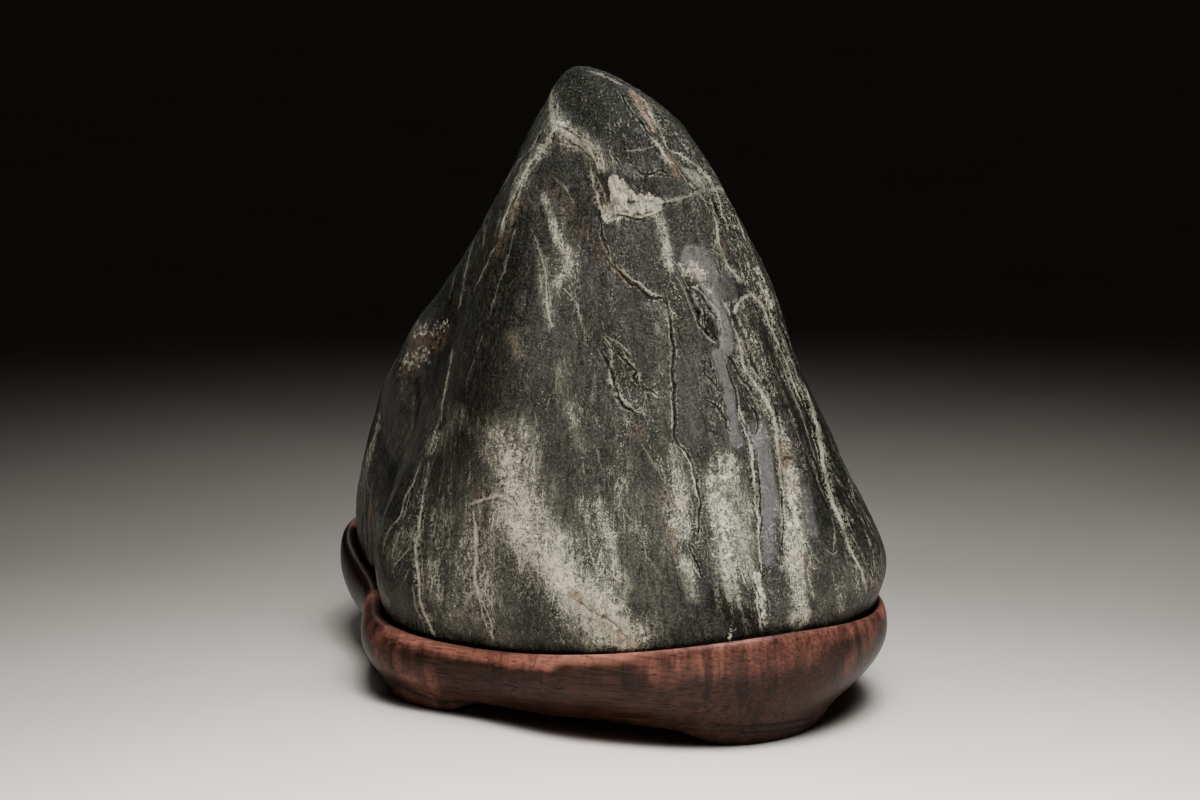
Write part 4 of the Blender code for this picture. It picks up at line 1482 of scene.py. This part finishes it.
    def ragged(self, course: np.ndarray) -> np.ndarray:
        """Makes a course waver a little from side to side, as a natural line does."""
        moves = [
            sum((noise.noise_vector(Vector(spot) * pace) * size for pace, size in self.wavers), Vector())
            for spot in course
        ]
        return course + np.array(moves).reshape(-1, 3) * MM

    def drawn_down(self, stretch: float) -> np.ndarray:
        """Finds places for a pattern that is drawn out along the way down from the summit.

        Args:
            stretch: The pattern's pace along that way, as a share of its pace across it.

        Returns:
            A place for each of the stone's points, one row each.
        """
        pole = self.apex + np.array([0.0, 0.0, self.pole_height])
        down = self.coords - pole
        length = np.linalg.norm(down, axis=1)
        return down / length[:, None] * (self.ring + stretch * (length - self.ring))[:, None]

    def scattered_patches(self) -> list[tuple[Patch, np.ndarray]]:
        """Lays the patches of the far side by seeded chance."""
        chance = random.Random(self.seed + 1)
        side = self.far_side
        laid = []
        for _ in range(side.grounds.count):
            ground = chance.choice(side.patch_kinds)
            half_width = chance.uniform(*(side.small_widths if ground in side.small_kinds else side.large_widths))
            course = self.wander(chance, side.grounds)
            patch = Patch(ground, half_width, chance.uniform(*side.patch_covers), (), side.patch_softness)
            laid.append((patch, course))
        return laid

    def carry_grounds(self, mesh: bpy.types.Mesh) -> dict[Ground, np.ndarray]:
        """Spreads every patch on the stone and stores the cover of each kind of ground.

        Args:
            mesh: The stone's mesh.

        Returns:
            The cover of each kind of ground at each point.
        """
        grounds = {ground: np.zeros(len(self.coords)) for ground in Ground}
        laid = [(patch, self.camera.lay(patch.course, self.surface)) for patch in PATCHES]
        for patch, course in (*laid, *self.scattered_patches()):
            if len(course) < 2:
                continue
            reach = patch.half_width * (1.0 + patch.softness) * self.patch_reach * MM
            rows, offset, _ = measure_course(self.coords, self.normals, course, reach)
            uneven = 1.0 + self.patch_waver * self.wobble[rows]
            away = np.abs(offset) / (patch.half_width * MM * uneven)
            cover = patch.cover * (1.0 - smooth_step(1.0 - patch.softness, 1.0 + patch.softness, away))
            grounds[patch.ground][rows] = np.maximum(grounds[patch.ground][rows], cover)
        # painted shade at the stone's foot, laid on the dark ground's cover
        grounds[Ground.DARK] = np.maximum(grounds[Ground.DARK], self.foot_shade())
        for ground, cover in grounds.items():
            carry(mesh, ground.value, cover)
        return grounds

    def foot_shade(self) -> np.ndarray:
        """How much painted shade each point takes where the stone goes into the stand."""
        stand = surface_of(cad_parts["stand"].data)
        away = np.full(len(self.coords), 1.0)
        for row in np.flatnonzero(self.coords[:, 2] < self.shade_height):
            away[row] = stand.find_nearest(Vector(self.coords[row]))[3]
        ragged = away + self.shade_waver * self.wobble
        return self.shade_cover * (1.0 - smooth_step(self.seat_gap, self.shade_reach, ragged))

    def sorted_layers(self, lines: list[Line]) -> list[list[Line]]:
        """Sorts the lines into layers in which no two come near each other."""
        layers: list[list[Line]] = []
        for line, course in lines:
            for layer in layers:
                others = np.concatenate([other for _, other in layer])
                gaps = np.linalg.norm(course[:, None] - others[None], axis=2)
                if gaps.min() > self.line_gap:
                    layer.append((line, course))
                    break
            else:
                layers.append([(line, course)])
        return layers

    def carry_lines(self, mesh: bpy.types.Mesh, lines: list[Line]) -> int:
        """Stores, layer by layer, how far each point lies across the nearest line, its strength and its tone.

        Args:
            mesh: The stone's mesh.
            lines: The lines and their courses.

        Returns:
            The number of layers.
        """
        layers = self.sorted_layers(lines)
        for number, layer in enumerate(layers):
            nearest = np.full(len(self.coords), 1.0)
            values = np.zeros((len(self.coords), 3))
            values[:, 0] = self.far_across
            dark = np.zeros(len(self.coords))
            for line, course in layer:
                rows, offset, inset = measure_course(self.coords, self.normals, course, self.line_reach)
                closer = np.abs(offset) < nearest[rows]
                rows, offset, inset = rows[closer], offset[closer], inset[closer]
                nearest[rows] = np.abs(offset)
                taper = self.line_tip + (1.0 - self.line_tip) * smooth_step(0.0, self.line_taper, inset)
                taper *= 1.0 + self.line_waver * self.wobble[rows]
                values[rows, 0] = offset / (0.5 * line.width * MM * taper)
                shown = 1.0 - smooth_step(*self.line_shown, np.abs(offset))
                strong = line.strength if isinstance(line, Vein) else 1.0
                values[rows, 1] = strong * shown * smooth_step(0.0, self.line_end, inset)
                values[rows, 2] = line.tone.value if isinstance(line, Vein) else line.lip
                dark[rows] = 0.0 if isinstance(line, Vein) else 1.0
            carry(mesh, f"line_{number}", values)
            carry(mesh, f"dark_{number}", dark)
        return len(layers)

    def relief(self, lines: list[Line], grounds: dict[Ground, np.ndarray], grain: np.ndarray) -> np.ndarray:
        """Works out how far each point is moved outwards.

        Args:
            lines: The lines and their courses.
            grounds: The cover of each kind of ground.
            grain: Places drawn out along the way down from the summit.

        Returns:
            The moves, in metres.
        """
        height = np.zeros(len(self.coords))
        self.open_cracks(height, lines)
        self.raise_swells(height)
        rough = grounds[Ground.ROUGH]
        calm = 1.0 - self.polish_share * grounds[Ground.SMOOTH]
        waves = fractal(self.coords, self.wave_pace, 0.9, 4)
        ribs = fractal(grain, self.rib_pace, 0.8, 3)
        scales = np.array([noise.noise(Vector(spot) * self.scale_pace) for spot in self.coords])
        flakes = np.array([self.flakes.height(spot) for spot in grain])
        rib_plain, rib_rough = self.rib_heights
        scale_plain, scale_rough = self.scale_heights
        flake_plain, flake_rough = self.flake_heights
        skin = self.wave_height * waves + (rib_plain + rib_rough * rough) * ribs
        height += calm * (skin + (scale_plain + scale_rough * rough) * scales)
        height += calm * (flake_plain + flake_rough * rough) * flakes
        low = self.coords[:, 2]
        clear = smooth_step(self.rim_height, self.clear_height, low)
        kept = np.minimum(height, 0.0) + np.maximum(height, 0.0) * clear
        return kept * smooth_step(*self.bed_heights, low) * MM

    def open_cracks(self, height: np.ndarray, lines: list[Line]) -> None:
        """Sinks every crack and lifts its lip, in millimetres."""
        for line, course in lines:
            if isinstance(line, Vein):
                continue
            rows, offset, inset = measure_course(self.coords, self.normals, course, self.crack_reach)
            kept = smooth_step(0.0, self.crack_taper, inset)
            height[rows] -= self.crack_share * line.depth * kept * np.exp(-(offset / self.crack_core) ** 2)
            lip = np.tanh(offset / self.crack_core) * np.exp(-np.abs(offset) / self.lip_reach)
            height[rows] += self.lip_share * line.lip * kept * lip

    def raise_swells(self, height: np.ndarray) -> None:
        """Raises the broad ridges and sinks the hollows, in millimetres."""
        for swell in SWELLS:
            reach = swell.half_width * self.swell_reach * MM
            course = self.camera.lay(swell.course, self.surface)
            rows, offset, _ = measure_course(self.coords, self.normals, course, reach)
            height[rows] += swell.height * (1.0 - smooth_step(self.swell_crest * reach, reach, np.abs(offset)))


@dataclass
class CarvedStand:
    """The stand: a low wall of carved hardwood on five feet, with the stone's place hollowed in it."""

    camera: StudioCamera
    levels: int = 2
    wear_depth: float = 4.5 * MM
    sole_height: float = 0.4 * MM
    sole_crease: float = 0.8
    cut_reach: float = 1.2 * MM
    cut_taper: float = 3.0 * MM
    lip_inner: float = 0.5 * MM
    lip_outer: float = 1.3 * MM
    sectors: int = 90
    wear_light_core: float = 0.2
    wear_light_edge: float = 1.7

    def build(self) -> bpy.types.Object:
        """Models the stand and gives the finished piece."""
        piece = start_piece("carved_stand", "stand")
        self.crease_soles(piece)
        refine(piece, self.levels)
        mesh = piece.data
        surface = surface_of(mesh)
        cuts = [(cut, self.camera.lay(cut.course, surface)) for cut in INCISIONS]
        wear_and_light_patches = [(wear_light_patch, self.camera.lay(wear_light_patch.course, surface)) for wear_light_patch in WEAR_AND_LIGHT_PATCHES]
        divide(piece, [course for _, course in cuts], self.cut_reach, 2)
        coords, normals = read_points(mesh)
        sunk = np.zeros(len(coords))
        # painted shade in the cuts; the inner lip's painted shade joins it when it is stored
        painted_recess_shade = np.zeros(len(coords))
        for cut, course in cuts:
            rows, offset, inset = measure_course(coords, normals, course, self.cut_reach)
            groove = np.exp(-(2.0 * offset / (cut.width * MM)) ** 2) * smooth_step(0.0, self.cut_taper, inset)
            painted_recess_shade[rows] = np.maximum(painted_recess_shade[rows], groove)
            sunk[rows] = np.maximum(sunk[rows], groove * cut.depth * MM)
        carry(mesh, "wear_and_painted_light", self.wear_and_painted_light(coords, normals, wear_and_light_patches))
        carry(mesh, "painted_recess_shade", np.maximum(painted_recess_shade, self.lip(coords)))
        move_points(mesh, coords - normals * sunk[:, None])
        mesh.materials.append(WoodFinish().material())
        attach(piece, "root")
        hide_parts("stand")
        return piece

    def crease_soles(self, piece: bpy.types.Object) -> None:
        """Keeps the edges of the feet's soles crisp under the rounding."""
        for edge in piece.data.edges:
            edge.select = False
        for polygon in piece.data.polygons:
            polygon.select = polygon.normal.z < -0.9 and polygon.center.z < self.sole_height
        bpy.ops.object.mode_set(mode="EDIT")
        bpy.ops.mesh.region_to_loop()
        bpy.ops.transform.edge_crease(value=self.sole_crease)
        bpy.ops.object.mode_set(mode="OBJECT")

    def lip(self, coords: np.ndarray) -> np.ndarray:
        """Finds how much painted shade each point takes where the wall's inner lip meets the stone, from 0 to 1."""
        stone = surface_of(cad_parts["stone"].data)
        away = np.array([stone.find_nearest(Vector(spot))[3] for spot in coords])
        return 1.0 - smooth_step(self.lip_inner, self.lip_outer, away)

    def wear_and_painted_light(self, coords: np.ndarray, normals: np.ndarray, wear_and_light_patches: list[tuple[WearAndLightPatch, np.ndarray]]) -> np.ndarray:
        """Finds how worn each point is, fully on the rim's crest and less towards the foot of the wall, and where
        painted reflection and painted shade lie.

        Args:
            coords: The stand's points, one row each.
            normals: The outward direction at each point.
            wear_and_light_patches: The stretches that are worn otherwise, those that carry painted reflection, the
                one that carries painted shade, and their courses.

        Returns:
            The wear and painted light, from -1 for painted shade to 1 for bare.
        """
        bearing = np.degrees(np.arctan2(coords[:, 1], coords[:, 0])) % 360.0
        sector = (bearing / (360.0 / self.sectors)).astype(int) % self.sectors
        crest = np.array([coords[sector == number, 2].max() for number in range(self.sectors)])
        crest = (np.roll(crest, 1) + crest + np.roll(crest, -1)) / 3.0
        centres = (np.arange(self.sectors) + 0.5) * 360.0 / self.sectors
        below = np.interp(bearing, centres, crest, period=360.0) - coords[:, 2]
        worn = 1.0 - smooth_step(0.0, self.wear_depth, below)
        for wear_light_patch, course in wear_and_light_patches:
            rows, offset, _ = measure_course(coords, normals, course, self.wear_light_edge * wear_light_patch.half_width * MM)
            away = np.abs(offset) / (wear_light_patch.half_width * MM)
            worn[rows] += (wear_light_patch.wear_and_painted_light - worn[rows]) * (1.0 - smooth_step(self.wear_light_core, self.wear_light_edge, away))
        return worn


@dataclass(frozen=True)
class SoftLight:
    """A square soft light.

    Its place and the point that it faces are in metres to the right of the view, towards the camera and
    up. Its side is in metres, its power in watts, and the angle over which it shines in degrees.
    """

    name: str
    place: Place
    target: Place
    size: float
    power: float
    spread: float


@dataclass
class Studio:
    """The floor, the lights over it and the dark room round it."""

    camera: StudioCamera
    floor_size: float = 8.0
    room: Colour = (0.0078, 0.0076, 0.0062)
    lights: tuple[SoftLight, ...] = (
        SoftLight("key_light", (0.11, 0.23, 0.52), (0.02, 0.39, 0.0), 0.29, 4.6, 78.0),
        SoftLight("top_light", (0.05, 0.16, 0.64), (0.05, 0.13, 0.0), 0.4, 0.6, 62.0),
        SoftLight("back_fill", (-0.15, -0.60, 0.55), (0.0, 0.0, 0.10), 0.4, 0.05, 34.0),
    )

    def build(self) -> bpy.types.Object:
        """Lays the floor, hangs the lights and darkens the room, and gives the floor."""
        bpy.ops.object.select_all(action="DESELECT")
        bpy.ops.mesh.primitive_plane_add(size=self.floor_size)
        floor = bpy.context.object
        floor.name = "studio_floor"
        floor.data.materials.append(FloorFinish().material())
        for light in self.lights:
            self.hang(light)
        world = bpy.data.worlds.new("dark_room")
        world.use_nodes = True
        backdrop = world.node_tree.nodes["Background"]
        backdrop.inputs["Color"].default_value = (*self.room, 1.0)
        backdrop.inputs["Strength"].default_value = 1.0
        bpy.context.scene.world = world
        return floor

    def hang(self, light: SoftLight) -> None:
        """Hangs a light in its place."""
        data = bpy.data.lights.new(light.name, "AREA")
        data.shape = "SQUARE"
        data.size = light.size
        data.energy = light.power
        data.spread = math.radians(light.spread)
        lamp = bpy.data.objects.new(light.name, data)
        place = self.turned(light.place)
        facing = self.turned(light.target) - place
        lamp.matrix_world = Matrix.Translation(place) @ facing.to_track_quat("-Z", "Y").to_matrix().to_4x4()
        bpy.context.scene.collection.objects.link(lamp)

    def turned(self, beside: Place) -> Vector:
        """Turns right-of-view, towards-camera and up into the model's frame."""
        azimuth = self.camera.azimuth
        right = Vector((math.cos(azimuth), math.sin(azimuth), 0.0))
        towards = Vector((math.sin(azimuth), -math.cos(azimuth), 0.0))
        return right * beside[0] + towards * beside[1] + Vector((0.0, 0.0, beside[2]))


def main() -> None:
    """Builds the camera, the stone, the stand and the studio, in that order, and reports each piece."""
    logging.basicConfig(level=logging.INFO, format="%(name)s: %(message)s")
    camera = StudioCamera()
    camera.build()
    for part in (ViewingStone(camera), CarvedStand(camera), Studio(camera)):
        piece = part.build()
        LOG.info("%s: %d faces", piece.name, len(piece.data.polygons))


if __name__ == "__main__":
    main()
